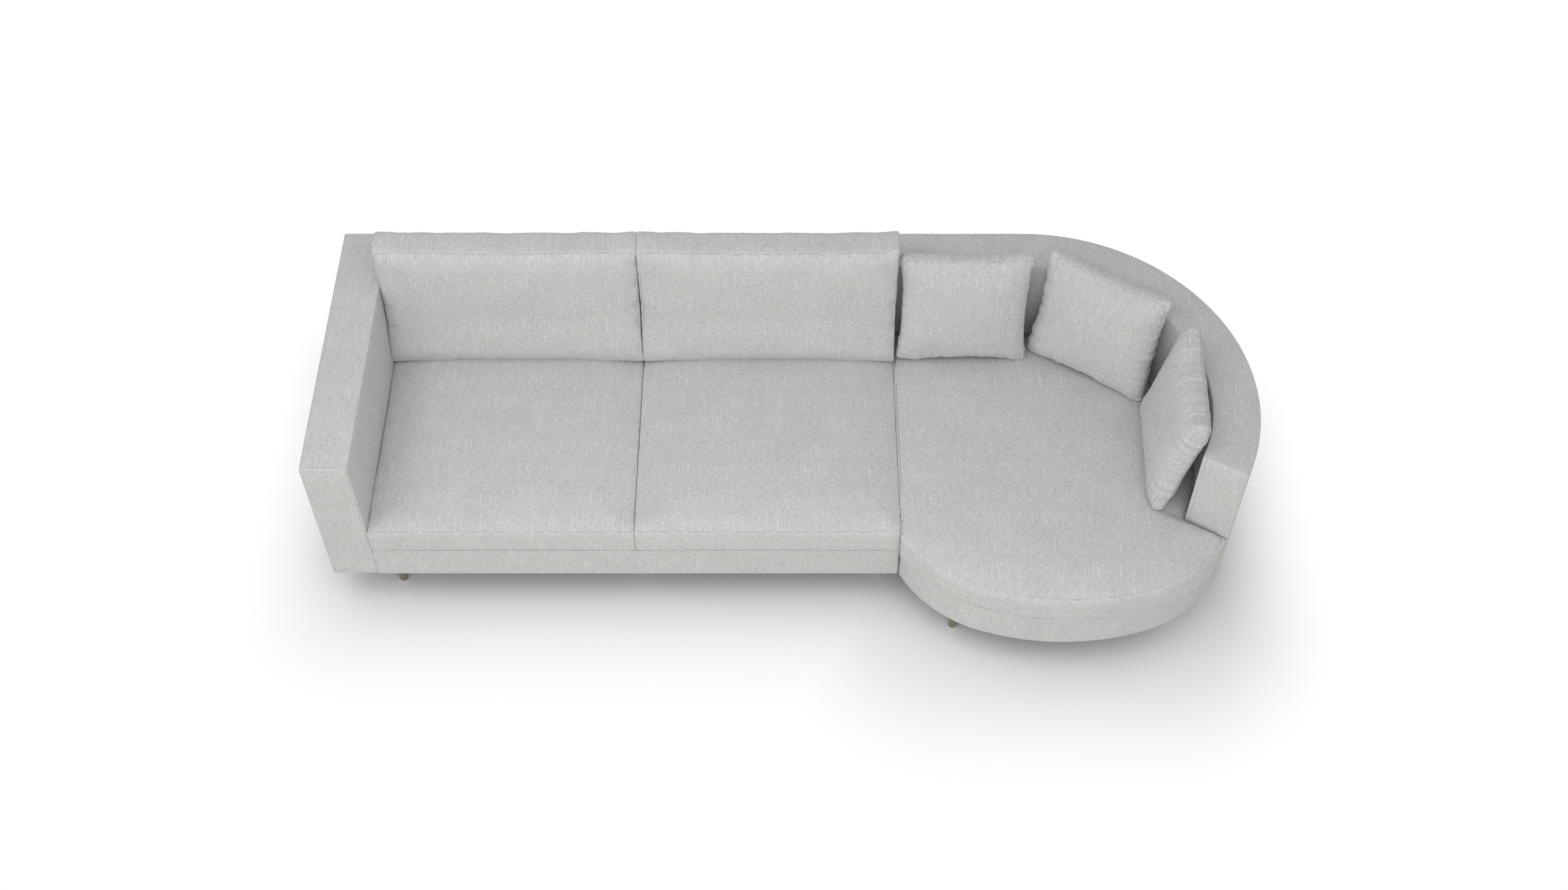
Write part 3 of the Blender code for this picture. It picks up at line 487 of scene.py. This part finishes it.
def simulateSwelling(piece, axes, settings):
    # the cover fills out from inside against its own stretch, no point moves past the cap,
    # and the stiff boxing keeps the sides nearly where they were
    before = readPoints(piece.data)
    pickOnly(piece)
    modifier = piece.modifiers.new("Swell", "CLOTH")
    modifier.settings.use_pressure = True
    modifier.settings.uniform_pressure_force = settings["pressure"]
    modifier.settings.effector_weights.gravity = 0
    modifier.settings.mass = swelling["mass"]
    modifier.settings.tension_stiffness = settings["stretch"]
    modifier.settings.compression_stiffness = settings["stretch"]
    modifier.settings.bending_stiffness = swelling["bending"]
    modifier.settings.quality = swelling["quality"]
    modifier.collision_settings.use_collision = False
    modifier.point_cache.frame_start = 1
    modifier.point_cache.frame_end = swelling["frames"]
    for step in range(1, swelling["frames"] + 1):
        bpy.context.scene.frame_set(step)
    bpy.ops.object.modifier_apply(modifier=modifier.name)
    bpy.context.scene.frame_set(1)
    moved = (readPoints(piece.data) - before) @ axes.T
    moved[:, :2] *= settings["sideShare"]
    moved = moved @ axes
    length = np.linalg.norm(moved, axis=1)
    cap = settings["cap"]
    still = 1e-9  # keeps points that have not moved out of the division
    share = np.where(length > still, cap * np.tanh(length / cap) / np.maximum(length, still), 0)
    writePoints(piece.data, before + moved * share[:, None])


def settleInBox(piece, node, less, more):
    # the piece fills the room of its CAD solid, and its sides bulge a little past it
    low, high = (np.array(corner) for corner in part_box(node))
    sides = (swelling["pressed"], 0, 0)
    low, high = low - np.array(less) - sides, high + np.array(more) + sides
    points = readPoints(piece.data)
    first, last = points.min(0), points.max(0)
    writePoints(piece.data, low + (points - first) / (last - first) * (high - low))


def tightenEdges(piece, sides, wide, narrow):
    # the rounding beside a flat side is drawn in, and the change fades out further from it
    points = readPoints(piece.data)
    low, high = points.min(0), points.max(0)
    far = wide * swelling["tightFade"]
    for axis, side in sides:
        gap = high[axis] - points[:, axis] if side > 0 else points[:, axis] - low[axis]
        gap = np.clip(gap, 0, far)
        points[:, axis] += side * (gap - np.interp(gap, (0, wide, far), (0, narrow, far)))
    writePoints(piece.data, points)


def leanOnBack(piece, settings, top):
    # the front sags forward at its foot, and the crown swells up and back over the low back
    points = readPoints(piece.data)
    low, high = points.min(0), points.max(0)
    height = (points[:, 2] - low[2]) / (high[2] - low[2])
    depth = (points[:, 1] - low[1]) / (high[1] - low[1])
    foot = 1 - rise(height, *settings["bellyHeight"])
    points[:, 1] -= settings["belly"] * foot * (1 - rise(depth, *settings["bellyDepth"]))
    start, end = settings["overhangAbove"]
    above = rise(points[:, 2], top + start, top + end)
    points[:, 1] += settings["overhang"] * above * rise(depth, *settings["overhangDepth"])
    points[:, 2] += settings["crown"] * rise(height, *settings["crownHeight"])
    writePoints(piece.data, points)


gathers = {
    # the ridges stand this high against the narrow creases, and are sunk by this much
    "ridge": 3,
    "sunk": 0.55,
    # the ears begin at this share of a cushion's half width and half height
    "earStart": 0.78,
    # the ridges fade with this power of the distance, and end below this share
    "fadePower": 1.3,
    "least": 0.02,
    # finer ridges lie over the first: their share, pitch and shift along the seam
    "fineShare": 0.5,
    "finePitch": 0.45,
    "fineShift": 0.4,
    # the pitch at the other end of the cushion
    "otherPitch": 1.15,
    # what sets the sets of ridges apart
    "sideSeed": 3.7,
    "fineSeed": 9.1,
    "otherSeed": 6.3,
}


def creases(values, pitch, seed):
    # rounded ridges with narrow creases between them, one value per place along a seam
    waves = [noise.noise(Vector((value / pitch, seed, 0))) for value in values]
    return np.array([abs(wave) * gathers["ridge"] - gathers["sunk"] for wave in waves])


def gatherEdges(piece, centre, axes, half, settings, seed):
    # the seams draw the cloth up in small ridges that run out from them and fade,
    # and the corners stand out as flat ears
    points = readPoints(piece.data)
    normals = readNormals(piece.data)
    pitch = settings["gatherPitch"]
    local = (points - centre) @ axes.T
    ends = np.abs(local[:, :2]) / half
    ear = rise(ends[:, 0], gathers["earStart"], 1.0) * rise(ends[:, 1], gathers["earStart"], 1.0)
    local[:, :2] += np.sign(local[:, :2]) * (settings["ear"] * ear)[:, None]
    local[:, 2] *= 1 - settings["earThin"] * ear
    points = centre + local @ axes
    for side in (0, 1):
        along = local[:, 1 - side]
        gap = np.maximum(half[side] - np.abs(local[:, side]), 0)
        fade = np.exp(-((gap / settings["gatherReach"]) ** gathers["fadePower"]))
        near = fade > gathers["least"]
        lift = creases(along[near], pitch, seed + gathers["sideSeed"] * side)
        lift += gathers["fineShare"] * creases(
            along[near] + gathers["fineShift"],
            pitch * gathers["finePitch"],
            seed + gathers["fineSeed"],
        )
        # the two ends of an edge differ
        flip = np.where(local[near, side] > 0, 1.0, 0.0)
        other = creases(
            along[near], pitch * gathers["otherPitch"], seed + gathers["otherSeed"] + side
        )
        lift = lift * flip + other * (1 - flip)
        points[near] += normals[near] * (settings["gather"] * fade[near] * lift)[:, None]
    writePoints(piece.data, points)


def makeCushion(node, name, body, settings, turn, less=(0, 0, 0), more=(0, 0, 0)):
    # less and more are what the cushion gains past the low and high side of its CAD solid
    piece = copyNode(node, name)
    # a cushion's own directions: across, up its face, and through it
    axes = np.array(turn.to_3x3().transposed())
    applyModifier(piece, "REMESH", {"mode": "VOXEL", "voxel_size": settings["voxel"]})
    applyModifier(piece, "SMOOTH", {"factor": 0.5, "iterations": settings["even"]})
    inward = readNormals(piece.data) @ axes.T * swelling["shrinkShares"] @ axes
    writePoints(piece.data, readPoints(piece.data) - inward * settings["shrink"])
    simulateSwelling(piece, axes, settings)
    if settings["fit"]:
        settleInBox(piece, node, less, more)
    wide = settings["voxel"] * swelling["tightVoxels"]
    tightenEdges(piece, settings["tight"], wide, settings["edge"])
    if "belly" in settings:
        leanOnBack(piece, settings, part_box("back_cover")[1].z)
    applyModifier(piece, "SUBSURF", {"levels": 1, "render_levels": 1})
    layCloth(piece, turn=turn)
    points = readPoints(piece.data)
    uneven = settings["uneven"] * ripple(points, swelling["rippleSize"], len(name))
    points += readNormals(piece.data) * uneven[:, None]
    points[:, 2] = np.maximum(points[:, 2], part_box(node)[0].z - swelling["sag"])
    writePoints(piece.data, points)
    local = points @ axes.T
    centre = (local.min(0) + local.max(0)) / 2 @ axes
    half = (local.max(0) - local.min(0))[:2] / 2
    if settings["gather"]:
        gatherEdges(piece, centre, axes, half, settings, len(name))

    def edgeGap(spots):
        return (half - np.abs((spots - centre) @ axes.T)[:, :2]).min(1)

    for seam in settings["seams"]:
        place = seam["place"] if "place" in seam else centre + axes[2] * seam["fromMiddle"]
        sewSeam(
            piece,
            place,
            axes[2],
            seam["width"],
            seam["depth"],
            lambda spots: edgeGap(spots) < seam["reach"],
        )
    if settings["fit"]:
        # neighbours press each other flat and leave a hair's breadth between them
        points = readPoints(piece.data)
        low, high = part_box(node)
        points[:, 0] = np.clip(points[:, 0], low.x - less[0], high.x + more[0])
        writePoints(piece.data, points)
    piece.data.materials.append(linenWeave)
    pickOnly(piece)
    bpy.ops.object.shade_smooth()
    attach(piece, body)
    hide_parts(node)
    print(name, len(piece.data.polygons), "faces")


seatSettings = {
    "voxel": 0.0100,
    "even": 1,
    "shrink": 0.003,
    "pressure": 2.5,
    "stretch": 20,
    # the most that a point moves, and the share of it that is left across and up the face
    "cap": 0.004,
    "sideShare": 0.1,
    "uneven": 0.0012,
    "fit": True,
    # the sides, as axis and direction, that have tight edges, and the radius there
    "tight": ((0, -1), (0, 1), (2, -1)),
    "edge": 0.004,
    "gather": 0.0005,
    "gatherReach": 0.030,
    "gatherPitch": 0.050,
    "ear": 0.001,
    "earThin": 0.02,
    "fill": 0.8,
    # each seam shows as far in from the cushion's edge as its reach
    "seams": [
        {"place": (0, 0, 0.370), "width": 0.004, "depth": 0.0036, "reach": 1.0},
        {"place": (0, 0, 0.282), "width": 0.004, "depth": 0.0018, "reach": 1.0},
    ],
}
flat = Matrix.Identity(4)
makeCushion(
    "seat_cushion_left",
    "seatCushionLeft",
    "seat_cushion_left",
    seatSettings,
    flat,
    less=(0.0018, 0, 0.005),
    more=(0.0017, 0, 0.002),
)
makeCushion(
    "seat_cushion_right",
    "seatCushionRight",
    "seat_cushion_right",
    seatSettings,
    flat,
    less=(0.0017, 0, 0.005),
    more=(0.0008, 0, 0.002),
)
chaiseSettings = dict(
    seatSettings,
    gather=0.0,
    tight=((0, -1), (2, -1)),
    edge=0.003,
    seams=[
        {"place": (0, 0, 0.374), "width": 0.005, "depth": 0.0026, "reach": 1.0},
        {"place": (0, 0, 0.282), "width": 0.004, "depth": 0.0014, "reach": 1.0},
    ],
)
makeCushion(
    "chaise_cushion",
    "chaiseCushion",
    "chaise_cushion",
    chaiseSettings,
    flat,
    less=(0.0008, 0, 0.005),
    more=(0, 0, 0.002),
)

backSettings = {
    "voxel": 0.0085,
    "even": 1,
    "shrink": 0.005,
    "pressure": 3.5,
    "stretch": 15,
    "cap": 0.009,
    "sideShare": 0.15,
    "uneven": 0.0014,
    "fit": True,
    "tight": ((0, -1), (0, 1), (2, -1)),
    "edge": 0.006,
    # each of these changes comes in between two shares of the cushion's height or depth,
    # and the overhang between two heights above the top of the back
    "belly": 0.022,
    "bellyHeight": (0.0, 0.5),
    "bellyDepth": (0.2, 0.9),
    "overhang": 0.020,
    "overhangAbove": (0.008, 0.05),
    "overhangDepth": (0.4, 0.95),
    "crown": 0.012,
    "crownHeight": (0.6, 1.0),
    "gather": 0.0010,
    "gatherReach": 0.040,
    "gatherPitch": 0.042,
    "ear": 0.004,
    "earThin": 0.12,
    "lean": 5.75,
    "fill": 0.7,
    "seams": [
        {"place": (0, 0.3302, 0.394), "width": 0.004, "depth": 0.0028, "reach": 0.02},
    ],
}
# the back cushion's face leans back a little from upright
upright = Matrix.Rotation(math.radians(90 - backSettings["lean"]), 4, "X")
makeCushion(
    "back_cushion_left",
    "backCushionLeft",
    "back_cushion_left",
    backSettings,
    upright,
    less=(0.0018, 0.001, 0.004),
    more=(0.0017, 0, 0),
)
makeCushion(
    "back_cushion_right",
    "backCushionRight",
    "back_cushion_right",
    backSettings,
    upright,
    less=(0.0017, 0.001, 0.004),
    more=(0.0008, 0, 0),
)

pillowSettings = {
    "voxel": 0.0064,
    "even": 1,
    "shrink": 0.006,
    "pressure": 4.0,
    "stretch": 12,
    "cap": 0.010,
    "sideShare": 0.1,
    "uneven": 0.0022,
    "fit": False,
    "tight": (),
    "edge": 0.0,
    "gather": 0.0030,
    "gatherReach": 0.045,
    "gatherPitch": 0.036,
    "ear": 0.005,
    "earThin": 0.25,
    "lean": 10.9,
    "fill": 0.75,
    "seams": [
        {"fromMiddle": 0.020, "width": 0.004, "depth": 0.0024, "reach": 0.014},
        {"fromMiddle": -0.020, "width": 0.004, "depth": 0.0024, "reach": 0.014},
    ],
}
# how far each pillow is turned to the wall behind it
pillowTurns = {"left": 0.0, "middle": -32.8, "right": -93.2}
leant = Matrix.Rotation(math.radians(90 - pillowSettings["lean"]), 4, "X")
for side, degrees in pillowTurns.items():
    turned = Matrix.Rotation(math.radians(degrees), 4, "Z")
    makeCushion(
        "pillow_" + side,
        "pillow" + side.title(),
        "pillow_" + side,
        pillowSettings,
        turned @ leant,
    )
print("cushions made")


# The covers of the arm and the backs are open shells with a thin wall round the frame,
# and those of the rails keep the CAD solid.
coverSettings = {
    "edge": 0.005,
    "steps": 3,
    "cells": (0.05, 0.05, 0.05),
    "arcCells": (0.024, 0.035, 0.05),
    "uneven": 0.0007,
    "rippleSize": 0.16,
    "seamWidth": 0.0035,
    "seamDepth": 0.0016,
    # how far the front panel's seams lie in from its edges, and where they end above the rail
    "topInset": 0.008,
    "sideInset": 0.006,
    "endInset": 0.011,
    "seamFoot": 0.282,
    # a point is on the top or on the front panel as far as this from it, and a point on
    # the top is at the wall's end as far as this behind the end panel
    "topBand": 0.004,
    "frontBand": 0.002,
    "endBand": 0.02,
    # how much of its normal a face turns to the side or down to count as facing there
    "facesSide": 0.3,
    "facesDown": 0.9,
    "railTop": 0.275,
    "wall": 0.004,
    "smoothAngle": 40,
}
wallCurve = {
    "start": 0.3529,
    "centre": np.array((0.7494, -0.0602, 0.0)),
    "inner": 0.5167,
    "outer": 0.6567,
    "end": math.radians(-27.5),
    # the radius that the cloth's map is laid at
    "mapped": 0.6,
}


def finishCover(piece, node, seams=(), centre=None, opened=True):
    points = readPoints(piece.data)
    uneven = coverSettings["uneven"] * ripple(points, coverSettings["rippleSize"], len(node))
    points += readNormals(piece.data) * uneven[:, None]
    writePoints(piece.data, points)
    for place, normal, wanted in seams:
        sewSeam(
            piece, place, normal, coverSettings["seamWidth"], coverSettings["seamDepth"], wanted
        )
    if opened:
        applyModifier(piece, "SOLIDIFY", {"thickness": coverSettings["wall"], "offset": -1})
    layCloth(piece, centre=centre)
    piece.data.materials.append(linenWeave)
    pickOnly(piece)
    bpy.ops.object.shade_smooth_by_angle(angle=math.radians(coverSettings["smoothAngle"]))
    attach(piece, "frame")
    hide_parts(node)


def addPaddedBar(name, low, high, cells, gone):
    # a bar with rounded edges, open below and wherever else the faces are not wanted
    piece = addBlock(name, low, high)
    above = low.z + coverSettings["edge"]
    pickEdges(piece, lambda first, second: first.z > above or second.z > above)
    bpy.ops.mesh.bevel(
        offset=coverSettings["edge"], segments=coverSettings["steps"], affect="EDGES"
    )
    endEdit()
    for axis in range(3):
        steps = max(1, round((high[axis] - low[axis]) / cells[axis]))
        normal = [0, 0, 0]
        normal[axis] = 1
        for step in range(1, steps):
            place = [0, 0, 0]
            place[axis] = low[axis] + (high[axis] - low[axis]) * step / steps
            cutPlane(piece, place, normal)
    cutPlane(piece, (0, 0, coverSettings["railTop"]), (0, 0, 1))
    down = -coverSettings["facesDown"]
    pickFaces(piece, lambda middle, normal: normal.z < down or gone(middle, normal))
    bpy.ops.mesh.delete(type="FACE")
    endEdit()
    return piece


armLow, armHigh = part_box("arm_cover")


def onTop(spots):
    return spots[:, 2] > armHigh.z - coverSettings["topBand"]


def aboveRail(spots):
    return spots[:, 2] > coverSettings["seamFoot"]


def onArmFront(spots):
    return (spots[:, 1] < armLow.y + coverSettings["frontBand"]) & aboveRail(spots)


# the arm's front panel has a seam across its top and one beside its inner edge
armSeams = (
    ((0, armLow.y + coverSettings["topInset"], 0), (0, 1, 0), onTop),
    ((armHigh.x - coverSettings["sideInset"], 0, 0), (1, 0, 0), onArmFront),
)
armCover = addPaddedBar(
    "armCover", armLow, armHigh, coverSettings["cells"], lambda middle, normal: False
)
finishCover(armCover, "arm_cover", armSeams)


def besideRail(middle, normal):
    # the rails pass under the front of the back, and on the left they meet the arm
    low = middle.z < coverSettings["railTop"]
    side = -coverSettings["facesSide"]
    return low and (normal.y < side or (normal.x < side and middle.x < 0))


backCover = addPaddedBar(
    "backCover", *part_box("back_cover"), coverSettings["cells"], besideRail
)
finishCover(backCover, "back_cover")

# the end panel of the curved back has its two seams as the arm's, and looks this way
ahead = np.array((math.sin(wallCurve["end"]), -math.cos(wallCurve["end"]), 0))
outward = np.array((math.cos(wallCurve["end"]), math.sin(wallCurve["end"]), 0))


def besideEnd(spots, behind):
    # the wall's end, as deep as this behind its panel
    offset = spots - wallCurve["centre"]
    return (offset @ ahead > -behind) & (offset @ outward > 0)


def onEndTop(spots):
    return besideEnd(spots, coverSettings["endBand"]) & onTop(spots)


def onEndFace(spots):
    return besideEnd(spots, coverSettings["frontBand"]) & aboveRail(spots)


endSeams = (
    (wallCurve["centre"] - ahead * coverSettings["topInset"], ahead, onEndTop),
    (
        wallCurve["centre"] + outward * (wallCurve["inner"] + coverSettings["endInset"]),
        outward,
        onEndFace,
    ),
)


def addCurvedBack():
    # a straight bar, bent round the arc beyond its first part
    middle = (wallCurve["inner"] + wallCurve["outer"]) / 2
    straight = wallCurve["centre"][0] - wallCurve["start"]
    length = straight + middle * (math.pi / 2 - wallCurve["end"])
    low = Vector((0, wallCurve["inner"], armLow.z))
    high = Vector((length, wallCurve["outer"], armHigh.z))
    piece = addPaddedBar("curvedBackCover", low, high, coverSettings["arcCells"], besideRail)
    points = readPoints(piece.data)
    along, radius = points[:, 0].copy(), points[:, 1].copy()
    turn = np.maximum(along - straight, 0) / middle
    points[:, 0] = wallCurve["start"] + np.minimum(along, straight) + radius * np.sin(turn)
    points[:, 1] = wallCurve["centre"][1] + radius * np.cos(turn)
    writePoints(piece.data, points)
    return piece


arcCentre = (*wallCurve["centre"][:2], wallCurve["mapped"])
finishCover(addCurvedBack(), "curved_back_cover", endSeams, arcCentre)
for node, name in (
    ("seat_rail_cover", "seatRailCover"),
    ("chaise_rail_cover", "chaiseRailCover"),
):
    finishCover(copyNode(node, name), node, (), arcCentre, opened=False)
print("covers made")


# The cloths under the cushions and below the frame are thin sheets, stretched on the rails.
clothSettings = {
    "cell": 0.06,
    # how deep a cloth hangs, how far in from its edge, and the size of its unevenness
    "sag": 0.0012,
    "sagReach": 0.15,
    "rippleSize": 0.18,
    "seed": 3,
}
seatRails = ["seat_rail_front", "seat_rail_rear"]
for node, name, finish, key, rests in (
    ("seat_deck_cloth", "seatDeckCloth", deckWeave, "deck_cloth", seatRails),
    ("chaise_deck_cloth", "chaiseDeckCloth", deckWeave, "deck_cloth", ["chaise_spring_rail"]),
    ("dust_cover", "dustCover", underFelt, "underlining", seatRails),
    ("chaise_dust_cover", "chaiseDustCover", underFelt, "underlining", ["chaise_rail_front"]),
):
    sheet = copyNode(node, name)
    low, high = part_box(node)
    size = high - low
    for axis in (0, 1):
        normal = [1 - axis, axis, 0]
        steps = round(size[axis] / clothSettings["cell"])
        for step in range(1, steps):
            cutPlane(sheet, low + size * (step / steps), normal)
    points = readPoints(sheet.data)
    inner = np.minimum(points - np.array(low), np.array(high) - points)[:, :2].min(1)
    wave = 1 + ripple(points, clothSettings["rippleSize"], clothSettings["seed"])
    points[:, 2] -= clothSettings["sag"] * rise(inner, 0.0, clothSettings["sagReach"]) * wave
    writePoints(sheet.data, points)
    layCloth(sheet)
    sheet.data.materials.append(finish)
    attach(sheet, "frame")
    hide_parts(node)


# the CAD nodes' own slots, and the finish of each
finishes = {
    "linen": linenWeave,
    "nickel": polishedNickel,
    "spring_steel": springWire,
    "beech": beechWood,
    "nylon": glideNylon,
    "deck_cloth": deckWeave,
    "underlining": underFelt,
}
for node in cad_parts.values():
    for place in node.material_slots:
        for key, finish in finishes.items():
            if place.material and place.material.name.split(".")[0] == key:
                place.material = finish
print("finishes given to", len(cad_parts), "nodes")


# Floor, light and camera are as in the photo.
studio = {
    "floorSize": 60.0,
    "floorShade": "E6E6E4",
    "shadowShade": "F7F7F7",
    # the shadow is kept round the two parts of the sofa, each a box by its middle and half
    # sizes, and the floor turns white between two distances from it
    "shadowBoxes": (((-0.41, 0.13, 0), (0.92, 0.47, 0)), ((0.82, -0.05, 0), (0.30, 0.36, 0))),
    "shadowEnds": ((0.04, 0.42), (0.24, 0.62)),
    "worldShade": "FFFFFF",
    "worldStrength": 0.57,
    # name, place, aim, width, height, watts
    "lamps": (
        ("softBoxAbove", (-0.4, -1.3, 3.3), (-0.2, -0.9, 0.3), 5.6, 2.0, 53.0),
        ("fillInFront", (-0.8, -5.1, 1.7), (0.0, 0.0, 0.4), 4.0, 2.2, 67.0),
    ),
    "sensor": 36,
    "lens": 42.56,
    "cameraPlace": (-0.0053, -3.5214, 4.9828),
    "cameraPitch": 37.287,
}


def makeFloor():
    bpy.ops.object.select_all(action="DESELECT")
    bpy.ops.mesh.primitive_plane_add(size=studio["floorSize"], location=(0, 0, 0))
    floor = bpy.context.object
    floor.name = "floor"
    material, tree = startMaterial("paleFloor")
    path = addNode(tree, "ShaderNodeLightPath", (-600, 200), {}, {})
    # what the camera sees, straight or through something shiny or clear, is drawn apart
    # from the matt floor that lights the sofa from below
    seen = path.outputs["Is Camera Ray"]
    for ray, place in (("Is Glossy Ray", -400), ("Is Transmission Ray", -200)):
        seen = addNode(
            tree,
            "ShaderNodeMath",
            (place, 300),
            {"operation": "MAXIMUM"},
            {0: seen, 1: path.outputs[ray]},
        ).outputs[0]
    matt = addNode(
        tree,
        "ShaderNodeBsdfDiffuse",
        (-200, 100),
        {"Color": hexColour(studio["floorShade"])},
        {},
    )
    # near the sofa the floor shows its shadow, further out it is plain white
    shadowed = addNode(
        tree,
        "ShaderNodeBsdfDiffuse",
        (-200, -50),
        {"Color": hexColour(studio["shadowShade"])},
        {},
    )
    white = addNode(tree, "ShaderNodeEmission", (-200, -200), {"Strength": 1.0}, {})
    ground = addNode(tree, "ShaderNodeTexCoord", (-1600, -300), {}, {}).outputs["Object"]
    shares = []
    for (middle, half), (start, end) in zip(studio["shadowBoxes"], studio["shadowEnds"]):
        # the distance from the box, zero inside it
        spot = ground
        for step, value in (
            ("SUBTRACT", {1: middle}),
            ("ABSOLUTE", {}),
            ("SUBTRACT", {1: half}),
            ("MAXIMUM", {1: (0, 0, 0)}),
        ):
            spot = addNode(
                tree,
                "ShaderNodeVectorMath",
                (-1400, -300),
                {"operation": step, **value},
                {0: spot},
            ).outputs[0]
        away = addNode(
            tree, "ShaderNodeVectorMath", (-1000, -300), {"operation": "LENGTH"}, {0: spot}
        )
        share = addNode(
            tree,
            "ShaderNodeMapRange",
            (-800, -300),
            {"interpolation_type": "SMOOTHSTEP", "From Min": start, "From Max": end},
            {"Value": away.outputs["Value"]},
        )
        shares.append(share.outputs[0])
    fade = addNode(
        tree,
        "ShaderNodeMath",
        (-600, -300),
        {"operation": "MINIMUM"},
        {0: shares[0], 1: shares[1]},
    )
    bright = addNode(
        tree,
        "ShaderNodeMixShader",
        (0, -100),
        {},
        {0: fade.outputs[0], 1: shadowed.outputs[0], 2: white.outputs[0]},
    )
    mixed = addNode(
        tree,
        "ShaderNodeMixShader",
        (200, 0),
        {},
        {0: seen, 1: matt.outputs[0], 2: bright.outputs[0]},
    )
    addNode(tree, "ShaderNodeOutputMaterial", (400, 0), {}, {"Surface": mixed.outputs[0]})
    floor.data.materials.append(material)


def makeLight():
    world = bpy.data.worlds.new("studioWorld")
    bpy.context.scene.world = world
    world.use_nodes = True
    background = world.node_tree.nodes["Background"]
    background.inputs["Color"].default_value = hexColour(studio["worldShade"])
    background.inputs["Strength"].default_value = studio["worldStrength"]
    for name, place, aim, width, height, watts in studio["lamps"]:
        lamp = bpy.data.lights.new(name, "AREA")
        lamp.shape = "RECTANGLE"
        lamp.size = width
        lamp.size_y = height
        lamp.energy = watts
        softBox = bpy.data.objects.new(name, lamp)
        bpy.context.scene.collection.objects.link(softBox)
        softBox.location = place
        towards = Vector(aim) - Vector(place)
        softBox.rotation_euler = towards.to_track_quat("-Z", "Y").to_euler()


def makeCamera():
    camera = bpy.data.cameras.new("camera")
    camera.sensor_width = studio["sensor"]
    camera.sensor_fit = "HORIZONTAL"
    camera.lens = studio["lens"]
    view = bpy.data.objects.new("camera", camera)
    bpy.context.scene.collection.objects.link(view)
    view.location = studio["cameraPlace"]
    view.rotation_euler = (math.radians(studio["cameraPitch"]), 0, 0)
    bpy.context.scene.camera = view


makeFloor()
makeLight()
makeCamera()
bpy.context.scene.view_settings.view_transform = "Standard"
print("floor, light and camera made")
